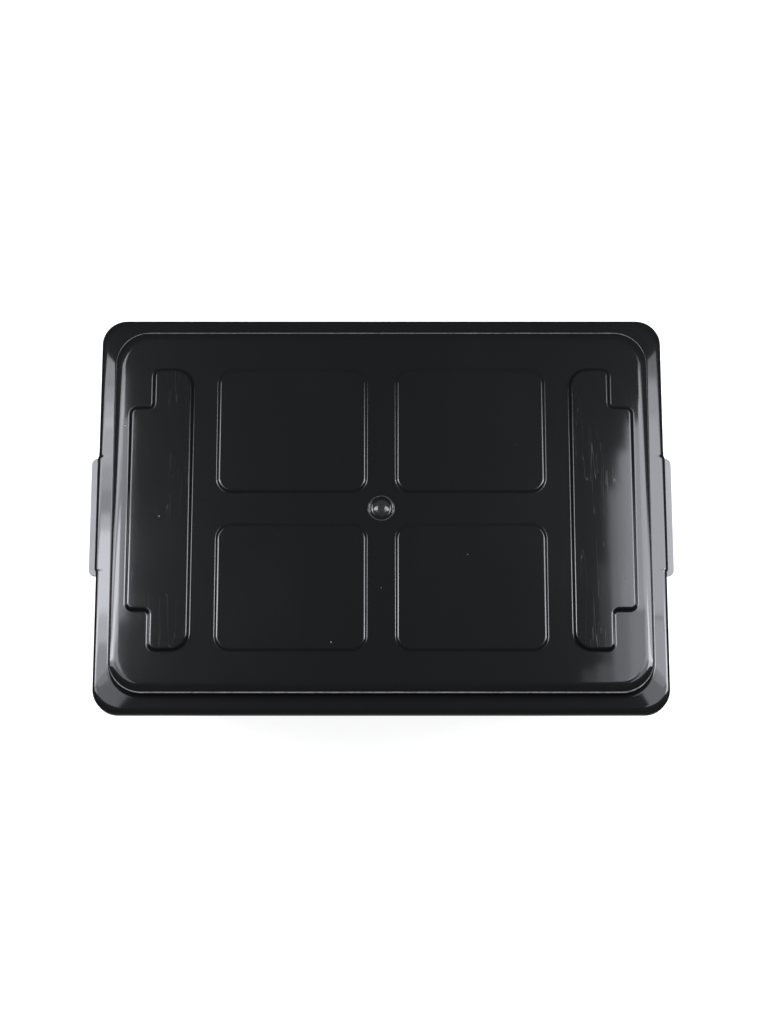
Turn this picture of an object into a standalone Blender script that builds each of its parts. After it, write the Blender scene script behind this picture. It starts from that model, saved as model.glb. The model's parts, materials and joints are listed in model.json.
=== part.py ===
"""Attached lid tote: a tapered tote, a one-piece hinged lid and two swing latches.

Frame: +X runs along the long side, -Y is the front, +Z is up. The origin is the centre of
the footprint, on the surface that the tote stands on. Every length is in metres.
"""

import math

import bmesh
import bpy
from mathutils import Matrix, Vector

# Driving dimensions -------------------------------------------------------------------

PLATEAU_Z = 0.3100          # top of the lid's flat plateau
LID_HALF = (0.2743, 0.1947)
LID_CORNER = 0.0240
LID_WALL = 0.0025
SKIRT_Z = PLATEAU_Z - 0.0355
RIM_Z = PLATEAU_Z - 0.0197
RIM_ROLL = 0.0020
FLANGE_Z = PLATEAU_Z - 0.0190
FLANGE_HALF = (0.2588, 0.1777)   # the wall of the tier, where it meets the flange
FLANGE_CORNER = 0.0330
FLANGE_FILLET = 0.0024      # radius where the flange turns up into that wall
FLANGE_FALL = 0.0003        # how much lower the flange is beside that radius than at the wall
TIER_Z = PLATEAU_Z - 0.0052
TIER_HALF = (0.2581, 0.1769)
TIER_CORNER = 0.0322
TIER_EDGE = 0.0006           # chamfer along the worn edge of the tier
TIER_SHOULDERS = ((0.0018, 0.0026), (0.0066, 0.0049))   # (inward, upward) from that edge
PLATEAU_HALF = (0.2475, 0.1649)
PLATEAU_CORNER = 0.0260

PANEL_X = (0.0130, 0.1584)
PANEL_Y = (0.0144, 0.1390)
PANEL_CORNER = 0.0153
PANEL_RISE = 0.0020
PANEL_SLOPE = 0.0040

ISLAND_X = (0.1802, 0.2220, 0.2438)
ISLAND_Y = (0.1012, 0.1395)
ISLAND_RISE = 0.0045
ISLAND_SLOPE = 0.0038
ISLAND_INNER_CORNER = 0.0190
ISLAND_OUTER_CORNER = 0.0085
ISLAND_NOTCH_CORNER = 0.0028

RING_RADIUS = 0.0126
RING_RISE = 0.0012
DOME_RADIUS = 0.0080
DOME_RISE = 0.0024

MOUTH_Z = 0.2872            # top face of the tote's rim
MOUTH_HALF = (0.2580, 0.1780)
MOUTH_CORNER = 0.0300
BASE_HALF = (0.2360, 0.1520)
BASE_CORNER = 0.0260
TOTE_WALL = 0.0030
FLOOR_Z = 0.0080
LIP_HALF = (0.2685, 0.1890)
LIP_CORNER = 0.0200
LIP_WALL = 0.0025
LIP_Z = 0.2700
REAR_TRIM_Y = 0.1810        # the rim stops here at the back, so the lid's skirt can swing
RIM_EDGE = 0.0010           # chamfer round the rim's top face
FLOOR_EDGE = 0.0030         # chamfer where the floor meets the wall
BASE_EDGE = 0.0020          # chamfer round the footprint

BAND_Z = 0.2440
BAND_DEPTH = 0.0030
BAND_REACH = 0.0045
RIB_WALL = 0.0022
RIB_STATIONS_X = (0.050, 0.100, 0.200)
RIB_STATIONS_Y = (0.085, 0.115)
RIB_SHOULDER = 0.0020       # height above the lip's edge at which a rib stops widening

FOOT_HEIGHT = 0.0050
FOOT_INNER = (0.2235, 0.1410)
FOOT_GATE_Y = 0.1025        # half width of the way out of the foot recess at each end
FOOT_CORNER = 0.0050

GRIP_Z = 0.2050
GRIP_HALF = (0.0560, 0.0200)
GRIP_DEPTH = 0.0190
GRIP_CORNER = 0.0090
GRIP_SINK = 0.0022          # the cup's front stays this far behind the wall's face

LABEL_Z = 0.1450
LABEL_HALF = (0.0600, 0.0310)
LABEL_DEPTH = 0.0008
LABEL_CORNER = 0.0040

HINGE_Y = 0.1865
HINGE_Z = 0.2760
HINGE_STATIONS = {"left": -0.1650, "centre": 0.0, "right": 0.1650}
KNUCKLE_RADIUS = 0.0042
KNUCKLE_ARM_HALF = 0.0032
KNUCKLE_ARM_HEEL = 0.0020   # how much taller an arm is where it meets the rim
LID_KNUCKLE_HALF = 0.0120
WEB_FOOT = 0.0012           # heights of the lid's hinge webs below and above the pin
WEB_KNEE = 0.0030
WEB_SHOULDER = 0.0090
TOTE_KNUCKLE = (0.0125, 0.0245)
HINGE_PIN_RADIUS = 0.0020

LATCH_X = 0.2682
LATCH_Z = 0.2826
LATCH_AJAR = math.radians(12.0)   # the latch hangs this far out of its catch at rest
LATCH_BARREL = 0.0039
LATCH_BARREL_HALF = 0.0515
LATCH_HALF = 0.0592
LATCH_WALL = 0.0026
LATCH_SHOULDER = 0.0062     # distance below the pin at which the plate widens
LATCH_DROP = 0.0150         # distance from the pin to the plate's lower edge
LATCH_LIP_X = 0.2832
LIP_TOP_Z = 0.2722
LIP_CORNER_RADIUS = 0.0060
LATCH_PIN_RADIUS = 0.0018
EAR_Y = (0.0520, 0.0560)
PIN_GAP = 0.0003
HOOD_REACH = 0.0012
HOOD_HALF = 0.0580
HOOD_RAMP = 0.0035          # length over which the bulge dies out at each end
HOOD_EDGE = 0.0009
HOOD_Z = 0.2869
RECESS_X = 0.2638
RECESS_HALF = 0.0610
CATCH_HALF = 0.0450
CATCH_X = 0.2664
CATCH_RISE = (0.0002, 0.0022, 0.0048)   # foot, nose top and heel of the catch above LIP_Z
PIN_HEAD = (1.6, 0.0012)    # a pin head's radius over the pin's, and its height

CORNER_STEPS = 6
TURN_STEPS = 24
EMBED = 0.0010              # how far a fused shape runs into its neighbour
LAP = 0.0004                # the same, where the neighbour is thin
CLEAR = 0.0100              # how far a cutting shape runs on past the part
FOOT_STEP = 0.00005         # a sliver of upright wall, so no foot lies in a face's plane

RIM_UNDER_Z = MOUTH_Z - TOTE_WALL
LIP_INNER = tuple(half - LIP_WALL for half in LIP_HALF)

# Materials ----------------------------------------------------------------------------


def make_material(name, colour, roughness, metallic):
    material = bpy.data.materials.new(name)
    material.use_nodes = True
    shader = material.node_tree.nodes["Principled BSDF"]
    shader.inputs["Base Color"].default_value = (*colour, 1.0)
    shader.inputs["Roughness"].default_value = roughness
    shader.inputs["Metallic"].default_value = metallic
    return material


# Outlines and solids ------------------------------------------------------------------


def fillet(points, radii, steps=CORNER_STEPS):
    """Round the corners of a closed outline, convex or concave; radius 0 keeps a corner."""
    rounded = []
    count = len(points)
    for index, radius in enumerate(radii):
        corner = Vector(points[index])
        if radius == 0:
            rounded.append(corner)
            continue
        before = (Vector(points[index - 1]) - corner).normalized()
        after = (Vector(points[(index + 1) % count]) - corner).normalized()
        half_angle = before.angle(after) / 2
        centre = corner + (before + after).normalized() * (radius / math.sin(half_angle))
        start = corner + before * (radius / math.tan(half_angle)) - centre
        end = corner + after * (radius / math.tan(half_angle)) - centre
        sweep = start.angle_signed(end)
        for step in range(steps + 1):
            turned = start.copy()
            turned.rotate(Matrix.Rotation(-sweep * step / steps, 2))
            rounded.append(centre + turned)
    return rounded


def box_outline(half, corner, centre=(0.0, 0.0), steps=CORNER_STEPS):
    signs = ((-1, -1), (1, -1), (1, 1), (-1, 1))
    points = [(centre[0] + sx * half[0], centre[1] + sy * half[1]) for sx, sy in signs]
    return fillet(points, [corner] * len(points), steps)


def shifted(half, amount):
    return (half[0] + amount, half[1] + amount)


def loft(bm, levels):
    """Join closed outlines, each given as 3-D points, into one capped solid."""
    loops = [[bm.verts.new(point) for point in level] for level in levels]
    for lower, upper in zip(loops, loops[1:]):
        count = len(lower)
        for index in range(count):
            following = (index + 1) % count
            bm.faces.new((lower[index], lower[following], upper[following], upper[index]))
    bm.faces.new(list(reversed(loops[0])))
    bm.faces.new(loops[-1])


def at_height(outline, z):
    return [(point[0], point[1], z) for point in outline]


def rect_levels(sections):
    """Outlines for sections given as (half size, corner radius, height)."""
    return [at_height(box_outline(half, corner), z) for half, corner, z in sections]


def add_box(bm, low, high):
    plan = [(low[0], low[1]), (high[0], low[1]), (high[0], high[1]), (low[0], high[1])]
    loft(bm, [at_height(plan, low[2]), at_height(plan, high[2])])


def add_rod(bm, centre, direction, radius, start, end, steps=TURN_STEPS):
    """A cylinder about a line through centre, from start to end along direction."""
    direction = Vector(direction)
    side = direction.orthogonal().normalized()
    levels = []
    for distance in (start, end):
        middle = Vector(centre) + direction * distance
        turns = (Matrix.Rotation(math.tau * step / steps, 3, direction) for step in range(steps))
        levels.append([middle + (turn @ side) * radius for turn in turns])
    loft(bm, levels)


def add_turned(bm, profile, steps=TURN_STEPS):
    """Turn a profile of (radius, height) about the Z axis; its ends are flat caps."""
    levels = []
    for radius, height in profile:
        angles = (math.tau * step / steps for step in range(steps))
        levels.append([(radius * math.cos(a), radius * math.sin(a), height) for a in angles])
    loft(bm, levels)


def add_slab(bm, outline, axis, low, high):
    """Extrude an outline along X or Y; the outline's own axes are the other two, in order."""
    levels = []
    for place in (low, high):
        if axis == "X":
            levels.append([(place, point[0], point[1]) for point in outline])
        else:
            levels.append([(point[0], place, point[1]) for point in outline])
    loft(bm, levels)


def make_object(name, bm, material, origin=(0.0, 0.0, 0.0)):
    bmesh.ops.recalc_face_normals(bm, faces=bm.faces)
    bmesh.ops.translate(bm, vec=-Vector(origin), verts=bm.verts)
    mesh = bpy.data.meshes.new(name)
    bm.to_mesh(mesh)
    bm.free()
    mesh.materials.append(material)
    mesh.shade_smooth()
    mesh.set_sharp_from_angle(angle=math.radians(30.0))
    item = bpy.data.objects.new(name, mesh)
    item.location = origin
    bpy.context.scene.collection.objects.link(item)
    return item


def combine(target, tool_name, bm, operation):
    """Fuse a hidden helper solid with the target, or cut it from the target."""
    tool = make_object(tool_name, bm, target.data.materials[0])
    tool.hide_render = True
    tool.display_type = "WIRE"
    modifier = target.modifiers.new(tool_name, "BOOLEAN")
    modifier.operation = operation
    modifier.object = tool
    modifier.solver = "EXACT"


# The tote -----------------------------------------------------------------------------


def wall_half(z, inward=0.0):
    """Half sizes of the tapered wall's outer face at a height, moved inward on request."""
    share = z / MOUTH_Z
    return tuple(b + (m - b) * share - inward for b, m in zip(BASE_HALF, MOUTH_HALF))


def wall_corner(z):
    return BASE_CORNER + (MOUTH_CORNER - BASE_CORNER) * z / MOUTH_Z


def wall_section(z, outward=0.0):
    return (wall_half(z, -outward), wall_corner(z) + outward, z)


def tote_sections():
    """The tote's shell, from its footprint, round the rim, to the inside of its floor."""
    lip_inner_corner = LIP_CORNER - LIP_WALL
    step = RIM_EDGE / 2
    mouth = wall_section(MOUTH_Z, -TOTE_WALL)
    floor = wall_section(FLOOR_Z, -TOTE_WALL - FLOOR_EDGE)
    floor_side = wall_section(FLOOR_Z + FLOOR_EDGE, -TOTE_WALL)
    return [
        wall_section(0.0, -BASE_EDGE),
        wall_section(BASE_EDGE),
        wall_section(BAND_Z),
        wall_section(BAND_Z + step, BAND_REACH),
        wall_section(BAND_Z + BAND_DEPTH, BAND_REACH),
        wall_section(BAND_Z + BAND_DEPTH + step),
        wall_section(RIM_UNDER_Z),
        (LIP_INNER, lip_inner_corner, RIM_UNDER_Z),
        (LIP_INNER, lip_inner_corner, LIP_Z),
        (LIP_HALF, LIP_CORNER, LIP_Z),
        (LIP_HALF, LIP_CORNER, MOUTH_Z - RIM_EDGE),
        (shifted(LIP_HALF, -RIM_EDGE), LIP_CORNER - RIM_EDGE, MOUTH_Z),
        (shifted(mouth[0], RIM_EDGE), mouth[1] + RIM_EDGE, MOUTH_Z),
        (mouth[0], mouth[1], MOUTH_Z - RIM_EDGE),
        floor_side,
        floor,
    ]


def add_rear_trim(bm):
    reach_x = LIP_HALF[0] + CLEAR
    low = (-reach_x, REAR_TRIM_Y, LIP_Z - CLEAR)
    add_box(bm, low, (reach_x, LIP_HALF[1] + CLEAR, MOUTH_Z + CLEAR))


def rib_profile(axis, outer):
    """A rib from the band up to the rim, as (distance from the middle, height)."""
    bottom_z = BAND_Z + BAND_DEPTH / 2
    root = wall_half(bottom_z)[axis]
    return [
        (root - EMBED, bottom_z),
        (root + BAND_REACH - LAP, bottom_z),
        (outer, LIP_Z + RIB_SHOULDER),
        (outer, RIM_UNDER_Z + LAP),
        (wall_half(RIM_UNDER_Z)[axis] - EMBED, RIM_UNDER_Z + LAP),
    ]


def add_rib(bm, profile, side, axis, station):
    outline = [(side * reach, z) for reach, z in profile]
    for middle in (-station, station):
        add_slab(bm, outline, axis, middle - RIB_WALL / 2, middle + RIB_WALL / 2)


def add_tote_ribs(bm):
    long_reach = {-1: LIP_INNER[1] + LAP, 1: REAR_TRIM_Y - LAP}
    for side in (-1, 1):
        for station in RIB_STATIONS_X:
            add_rib(bm, rib_profile(1, long_reach[side]), side, "X", station)
        for station in RIB_STATIONS_Y:
            add_rib(bm, rib_profile(0, LIP_INNER[0] + LAP), side, "Y", station)


def add_tote_knuckle_arms(bm):
    """Arms that carry the hinge barrels on the back of the tote."""
    root_y = wall_half(HINGE_Z)[1] - EMBED
    top_z = MOUTH_Z - RIM_EDGE
    profile = [
        (root_y, HINGE_Z - KNUCKLE_ARM_HALF),
        (HINGE_Y, HINGE_Z - KNUCKLE_ARM_HALF),
        (HINGE_Y, HINGE_Z + KNUCKLE_ARM_HALF),
        (REAR_TRIM_Y - LAP, HINGE_Z + KNUCKLE_ARM_HALF + KNUCKLE_ARM_HEEL),
        (REAR_TRIM_Y - LAP, top_z),
        (root_y, top_z),
    ]
    for station in HINGE_STATIONS.values():
        for side in (-1, 1):
            near, far = sorted(side * reach for reach in TOTE_KNUCKLE)
            add_slab(bm, profile, "X", station + near, station + far)


def add_tote_barrels(bm):
    for station in HINGE_STATIONS.values():
        for side in (-1, 1):
            near, far = sorted(side * reach for reach in TOTE_KNUCKLE)
            add_rod(bm, (station, HINGE_Y, HINGE_Z), (1, 0, 0), KNUCKLE_RADIUS, near, far)


def add_hinge_bores(bm):
    reach = TOTE_KNUCKLE[1] + EMBED
    for station in HINGE_STATIONS.values():
        centre = (station, HINGE_Y, HINGE_Z)
        add_rod(bm, centre, (1, 0, 0), HINGE_PIN_RADIUS + PIN_GAP, -reach, reach)


def add_grip(bm, side, grow, inner_reach, outer_x):
    """A rounded block through one end wall: the grip's cup, or the hollow inside it."""
    half = shifted(GRIP_HALF, grow)
    outline = box_outline(half, GRIP_CORNER + grow, centre=(0.0, GRIP_Z))
    inner_x = wall_half(GRIP_Z)[0] - inner_reach
    near, far = sorted((side * inner_x, side * outer_x))
    add_slab(bm, outline, "X", near, far)


def tote_grip_cups(bm):
    for side in (-1, 1):
        add_grip(bm, side, TOTE_WALL, GRIP_DEPTH + TOTE_WALL, wall_half(GRIP_Z)[0] - GRIP_SINK)


def tote_grip_hollows(bm):
    for side in (-1, 1):
        add_grip(bm, side, 0.0, GRIP_DEPTH, LIP_HALF[0])


def add_latch_seats(bm):
    """Solid seats that fill the rim's channel where the latches sit."""
    for side in (-1, 1):
        near, far = sorted((side * (wall_half(LIP_Z)[0] - EMBED), side * (LIP_HALF[0] - LIP_WALL / 2)))
        half = RECESS_HALF + 2 * EMBED
        add_box(bm, (near, -half, LIP_Z + LAP), (far, half, RIM_UNDER_Z + LAP))


def add_latch_recesses(bm):
    for side in (-1, 1):
        near, far = sorted((side * RECESS_X, side * (LIP_HALF[0] + CLEAR)))
        add_box(bm, (near, -RECESS_HALF, LIP_Z - CLEAR), (far, RECESS_HALF, MOUTH_Z + CLEAR))


def add_latch_catches(bm):
    """The bars that the latch hooks go under."""
    foot, nose, heel = (LIP_Z + rise for rise in CATCH_RISE)
    root = RECESS_X - EMBED
    profile = [(root, foot), (CATCH_X, foot), (CATCH_X, nose), (root, heel)]
    for side in (-1, 1):
        add_slab(bm, [(side * x, z) for x, z in profile], "Y", -CATCH_HALF, CATCH_HALF)


def add_foot_recess(bm):
    """The hollow under the base that drops over another lid's islands."""
    inner_x, inner_y = FOOT_INNER
    far_x = BASE_HALF[0] + CLEAR
    points = [
        (-inner_x, -inner_y), (inner_x, -inner_y), (inner_x, -FOOT_GATE_Y), (far_x, -FOOT_GATE_Y),
        (far_x, FOOT_GATE_Y), (inner_x, FOOT_GATE_Y), (inner_x, inner_y), (-inner_x, inner_y),
        (-inner_x, FOOT_GATE_Y), (-far_x, FOOT_GATE_Y), (-far_x, -FOOT_GATE_Y), (-inner_x, -FOOT_GATE_Y),
    ]
    outline = fillet(points, [FOOT_CORNER] * len(points), 3)
    loft(bm, [at_height(outline, -CLEAR), at_height(outline, FOOT_HEIGHT)])


def add_label_recess(bm):
    """A shallow panel for a label, sunk square into the sloping front wall."""
    outline = box_outline(LABEL_HALF, LABEL_CORNER, steps=3)
    add_slab(bm, outline, "Y", -CLEAR, LABEL_DEPTH)
    slope = math.atan((MOUTH_HALF[1] - BASE_HALF[1]) / MOUTH_Z)
    place = Matrix.Translation((0.0, -wall_half(LABEL_Z)[1], LABEL_Z))
    bmesh.ops.transform(bm, matrix=place @ Matrix.Rotation(slope, 4, "X"), verts=bm.verts)


def make_tote(material):
    bm = bmesh.new()
    loft(bm, rect_levels(tote_sections()))
    tote = make_object("tote_body", bm, material)
    steps = [
        ("rear_trim", "DIFFERENCE", add_rear_trim),
        ("rim_ribs", "UNION", add_tote_ribs),
        ("grip_cups", "UNION", tote_grip_cups),
        ("grip_hollows", "DIFFERENCE", tote_grip_hollows),
        ("latch_seats", "UNION", add_latch_seats),
        ("latch_recesses", "DIFFERENCE", add_latch_recesses),
        ("latch_catches", "UNION", add_latch_catches),
        ("knuckle_arms", "UNION", add_tote_knuckle_arms),
        ("knuckle_barrels", "UNION", add_tote_barrels),
        ("hinge_bores", "DIFFERENCE", add_hinge_bores),
        ("foot_recess", "DIFFERENCE", add_foot_recess),
        ("label_recess", "DIFFERENCE", add_label_recess),
    ]
    for step_name, operation, build in steps:
        tool = bmesh.new()
        build(tool)
        combine(tote, "tote_" + step_name, tool, operation)
    return tote


# The lid ------------------------------------------------------------------------------


def lid_sections():
    """The lid's shell, from the middle of its underside, round the skirt, to its top."""
    t = LID_WALL
    roll = (1 - math.sqrt(0.5)) * RIM_ROLL
    knee = (1 - math.sqrt(0.5)) * FLANGE_FILLET
    (low_in, low_up), (high_in, high_up) = TIER_SHOULDERS
    return [
        (shifted(PLATEAU_HALF, -FOOT_STEP), PLATEAU_CORNER, PLATEAU_Z - t),
        (shifted(TIER_HALF, -t - low_in), TIER_CORNER - t - low_in, TIER_Z - t + low_up),
        (shifted(TIER_HALF, -t), TIER_CORNER - t, TIER_Z - t),
        (shifted(FLANGE_HALF, -t), FLANGE_CORNER - t, FLANGE_Z - t),
        (shifted(LID_HALF, -t - EMBED), LID_CORNER - t - EMBED, RIM_Z - t),
        (shifted(LID_HALF, -t), LID_CORNER - t, RIM_Z - t - EMBED),
        (shifted(LID_HALF, -t), LID_CORNER - t, SKIRT_Z),
        (LID_HALF, LID_CORNER, SKIRT_Z),
        (LID_HALF, LID_CORNER, RIM_Z - RIM_ROLL),
        (shifted(LID_HALF, -roll), LID_CORNER - roll, RIM_Z - roll),
        (shifted(LID_HALF, -RIM_ROLL), LID_CORNER - RIM_ROLL, RIM_Z),
        (shifted(FLANGE_HALF, FLANGE_FILLET), FLANGE_CORNER, FLANGE_Z - FLANGE_FALL),
        (shifted(FLANGE_HALF, knee), FLANGE_CORNER + knee, FLANGE_Z + knee),
        (FLANGE_HALF, FLANGE_CORNER, FLANGE_Z + FLANGE_FILLET),
        (TIER_HALF, TIER_CORNER, TIER_Z - TIER_EDGE),
        (shifted(TIER_HALF, -TIER_EDGE), TIER_CORNER - TIER_EDGE, TIER_Z),
        (shifted(TIER_HALF, -low_in), TIER_CORNER - low_in, TIER_Z + low_up),
        (shifted(TIER_HALF, -high_in), TIER_CORNER - high_in, TIER_Z + high_up),
        (PLATEAU_HALF, PLATEAU_CORNER, PLATEAU_Z),
    ]


def panel_centres():
    x = sum(PANEL_X) / 2
    y = sum(PANEL_Y) / 2
    return [(sx * x, sy * y) for sx in (-1, 1) for sy in (-1, 1)]


def add_raised(bm, outline_at, rise, slope):
    """A raised pad whose foot is embedded in the plateau."""
    levels = [
        at_height(outline_at(0.0), PLATEAU_Z - EMBED),
        at_height(outline_at(0.0), PLATEAU_Z + FOOT_STEP),
        at_height(outline_at(-slope), PLATEAU_Z + rise),
    ]
    loft(bm, levels)


def add_sunk(bm, outline_at, rise, slope):
    """The hollow under a raised pad, which keeps the lid one wall thick."""
    levels = [
        at_height(outline_at(-0.5 * LID_WALL), PLATEAU_Z - 2 * LID_WALL),
        at_height(outline_at(-0.5 * LID_WALL), PLATEAU_Z - LID_WALL + FOOT_STEP),
        at_height(outline_at(-0.5 * LID_WALL - slope), PLATEAU_Z - LID_WALL + rise),
    ]
    loft(bm, levels)


def panel_outline(centre):
    half = ((PANEL_X[1] - PANEL_X[0]) / 2, (PANEL_Y[1] - PANEL_Y[0]) / 2)

    def outline_at(offset):
        return box_outline(shifted(half, offset), PANEL_CORNER + offset, centre, steps=4)

    return outline_at


def island_outline(side):
    """The stepped island at one end; its outer side is stepped out in the middle."""
    x_in, x_lobe, x_step = ISLAND_X
    y_step, y_lobe = ISLAND_Y

    def outline_at(offset):
        inner = x_in - offset
        lobe = x_lobe + offset
        step = x_step + offset
        near = y_step + offset
        far = y_lobe + offset
        points = [
            (inner, -far), (lobe, -far), (lobe, -near), (step, -near),
            (step, near), (lobe, near), (lobe, far), (inner, far),
        ]
        convex = ISLAND_OUTER_CORNER + offset
        concave = ISLAND_NOTCH_CORNER - offset
        inside = ISLAND_INNER_CORNER + offset
        radii = [inside, convex, concave, convex, convex, concave, convex, inside]
        if side < 0:
            points = [(-x, y) for x, y in reversed(points)]
            radii.reverse()
        return fillet(points, radii, 4)

    return outline_at


def add_lid_relief(bm):
    for centre in panel_centres():
        add_raised(bm, panel_outline(centre), PANEL_RISE, PANEL_SLOPE)
    for side in (-1, 1):
        add_raised(bm, island_outline(side), ISLAND_RISE, ISLAND_SLOPE)


def add_lid_hollows(bm):
    for centre in panel_centres():
        add_sunk(bm, panel_outline(centre), PANEL_RISE, PANEL_SLOPE)
    for side in (-1, 1):
        add_sunk(bm, island_outline(side), ISLAND_RISE, ISLAND_SLOPE)


def add_gate_ring(bm):
    """The raised ring in the middle of the lid, with a dome inside it."""
    profile = [
        (RING_RADIUS, -EMBED),
        (RING_RADIUS, 0.0002),
        (RING_RADIUS - 0.0008, RING_RISE),
        (RING_RADIUS - 0.0022, RING_RISE),
        (DOME_RADIUS + 0.0010, 0.0002),
    ]
    bands = 5
    for band in range(bands):
        angle = math.pi / 2 * band / bands
        profile.append((DOME_RADIUS * math.cos(angle), 0.0002 + DOME_RISE * math.sin(angle)))
    add_turned(bm, [(radius, PLATEAU_Z + height) for radius, height in profile])


def add_latch_gates(bm):
    """The parts of the skirt that are left out where the latches swing."""
    for side in (-1, 1):
        near, far = sorted((side * (LID_HALF[0] - LID_WALL - LAP), side * (LID_HALF[0] + CLEAR)))
        half = RECESS_HALF + LAP
        add_box(bm, (near, -half, SKIRT_Z - CLEAR), (far, half, HOOD_Z))


def add_hoods(bm):
    """The slight bulge of the lid's edge over each latch."""
    root = LID_HALF[0] - RIM_ROLL
    side_x = LID_HALF[0] - LAP / 2
    tip = LID_HALF[0] + HOOD_REACH
    flat_half = HOOD_HALF - HOOD_RAMP
    plan = [
        (root, -HOOD_HALF), (side_x, -HOOD_HALF), (tip, -flat_half),
        (tip, flat_half), (side_x, HOOD_HALF), (root, HOOD_HALF),
    ]
    top = [(root, y) if x == root else (x - HOOD_EDGE, y) for x, y in plan]
    levels = [
        at_height(plan, HOOD_Z + LAP / 2),
        at_height(plan, RIM_Z - HOOD_EDGE - LAP),
        at_height(top, RIM_Z - LAP),
    ]
    for side in (-1, 1):
        loft(bm, [[(side * x, y, z) for x, y, z in level] for level in levels])


def add_ears(bm):
    """Ears under the flange that hold the latch pins."""
    inner = LATCH_X - LATCH_BARREL
    outer = LATCH_X + LATCH_BARREL - 2 * LAP
    top_z = RIM_Z - LID_WALL + LAP
    profile = [(inner, LATCH_Z), (outer, LATCH_Z), (outer, top_z), (inner, top_z + EMBED)]
    for side in (-1, 1):
        for end in (-1, 1):
            near, far = sorted(end * y for y in EAR_Y)
            add_slab(bm, [(side * x, z) for x, z in profile], "Y", near, far)


def add_ear_rounds(bm):
    for side in (-1, 1):
        for end in (-1, 1):
            near, far = sorted(end * y for y in EAR_Y)
            add_rod(bm, (side * LATCH_X, 0.0, LATCH_Z), (0, 1, 0), LATCH_BARREL, near, far)


def add_ear_bores(bm):
    reach = EAR_Y[1] + EMBED
    for side in (-1, 1):
        centre = (side * LATCH_X, 0.0, LATCH_Z)
        add_rod(bm, centre, (0, 1, 0), LATCH_PIN_RADIUS + PIN_GAP, -reach, reach)


def add_lid_knuckle_webs(bm):
    """Webs that tie the lid's hinge barrels to its rear skirt."""
    outer = LID_HALF[1] - LID_WALL + LAP
    profile = [
        (HINGE_Y, HINGE_Z - WEB_FOOT),
        (outer, HINGE_Z - WEB_FOOT),
        (outer, RIM_Z - LID_WALL - LAP),
        (HINGE_Y + 2 * LAP, HINGE_Z + WEB_SHOULDER),
        (HINGE_Y, HINGE_Z + WEB_KNEE),
    ]
    for station in HINGE_STATIONS.values():
        add_slab(bm, profile, "X", station - LID_KNUCKLE_HALF, station + LID_KNUCKLE_HALF)


def add_lid_barrels(bm):
    for station in HINGE_STATIONS.values():
        centre = (station, HINGE_Y, HINGE_Z)
        add_rod(bm, centre, (1, 0, 0), KNUCKLE_RADIUS, -LID_KNUCKLE_HALF, LID_KNUCKLE_HALF)


def make_lid(material):
    bm = bmesh.new()
    loft(bm, rect_levels(lid_sections()))
    lid = make_object("lid", bm, material, origin=(0.0, HINGE_Y, HINGE_Z))
    steps = [
        ("relief", "UNION", add_lid_relief),
        ("hollows", "DIFFERENCE", add_lid_hollows),
        ("gate_ring", "UNION", add_gate_ring),
        ("latch_gates", "DIFFERENCE", add_latch_gates),
        ("hoods", "UNION", add_hoods),
        ("ears", "UNION", add_ears),
        ("ear_rounds", "UNION", add_ear_rounds),
        ("ear_bores", "DIFFERENCE", add_ear_bores),
        ("knuckle_webs", "UNION", add_lid_knuckle_webs),
        ("knuckle_barrels", "UNION", add_lid_barrels),
        ("hinge_bores", "DIFFERENCE", add_hinge_bores),
    ]
    for step_name, operation, build in steps:
        tool = bmesh.new()
        build(tool)
        combine(lid, "lid_" + step_name, tool, operation)
    return lid


# Latches and pins ---------------------------------------------------------------------


def latch_plate_outline():
    """The latch's plate, seen from the end of the tote: narrow at the pin, wide below."""
    neck = LATCH_BARREL_HALF - LAP / 2
    shoulder_z = -LATCH_SHOULDER
    bottom_z = -LATCH_DROP
    points = [
        (-LATCH_HALF, bottom_z), (LATCH_HALF, bottom_z), (LATCH_HALF, shoulder_z), (neck, shoulder_z),
        (neck, 0.0), (-neck, 0.0), (-neck, shoulder_z), (-LATCH_HALF, shoulder_z),
    ]
    radii = [0.0030, 0.0030, 0.0015, 0.0006, 0.0004, 0.0004, 0.0006, 0.0015]
    return fillet(points, radii, 3)


def add_latch_plate(bm):
    add_slab(bm, latch_plate_outline(), "X", -LATCH_WALL / 2, LATCH_WALL / 2)


def add_latch_barrel(bm):
    add_rod(bm, (0, 0, 0), (0, 1, 0), LATCH_BARREL, -LATCH_BARREL_HALF, LATCH_BARREL_HALF)


def add_latch_hook(bm):
    """The hook's nose, which goes under the catch when the latch is pushed in."""
    top_z = LIP_Z + CATCH_RISE[0] - LAP - LATCH_Z
    profile = [
        (0.0, top_z - 0.0024),
        (0.0, top_z),
        (-0.0038, top_z),
        (-0.0030, top_z - 0.0014),
        (-0.0012, top_z - 0.0024),
    ]
    half = CATCH_HALF - 0.0030
    add_slab(bm, profile, "Y", -half, half)


def add_latch_lip(bm):
    """The finger lip: a thin tongue that is level when the latch hangs at rest."""
    top_z = LIP_TOP_Z - LATCH_Z
    root = -top_z * math.tan(LATCH_AJAR)
    reach = LATCH_LIP_X - LATCH_X
    levels = []
    for z, inset in ((-LATCH_WALL, 0.0006), (-LATCH_WALL + 0.0007, 0.0), (-0.0007, 0.0), (0.0, 0.0006)):
        tip = reach - inset
        half = LATCH_HALF - 0.0004 - inset
        points = [(root, -half), (tip, -half), (tip, half), (root, half)]
        outline = fillet(points, [0, LIP_CORNER_RADIUS, LIP_CORNER_RADIUS, 0], 5)
        levels.append(at_height(outline, top_z + z))
    loft(bm, levels)
    bmesh.ops.rotate(bm, cent=(0, 0, 0), matrix=Matrix.Rotation(LATCH_AJAR, 3, "Y"), verts=bm.verts)


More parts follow.
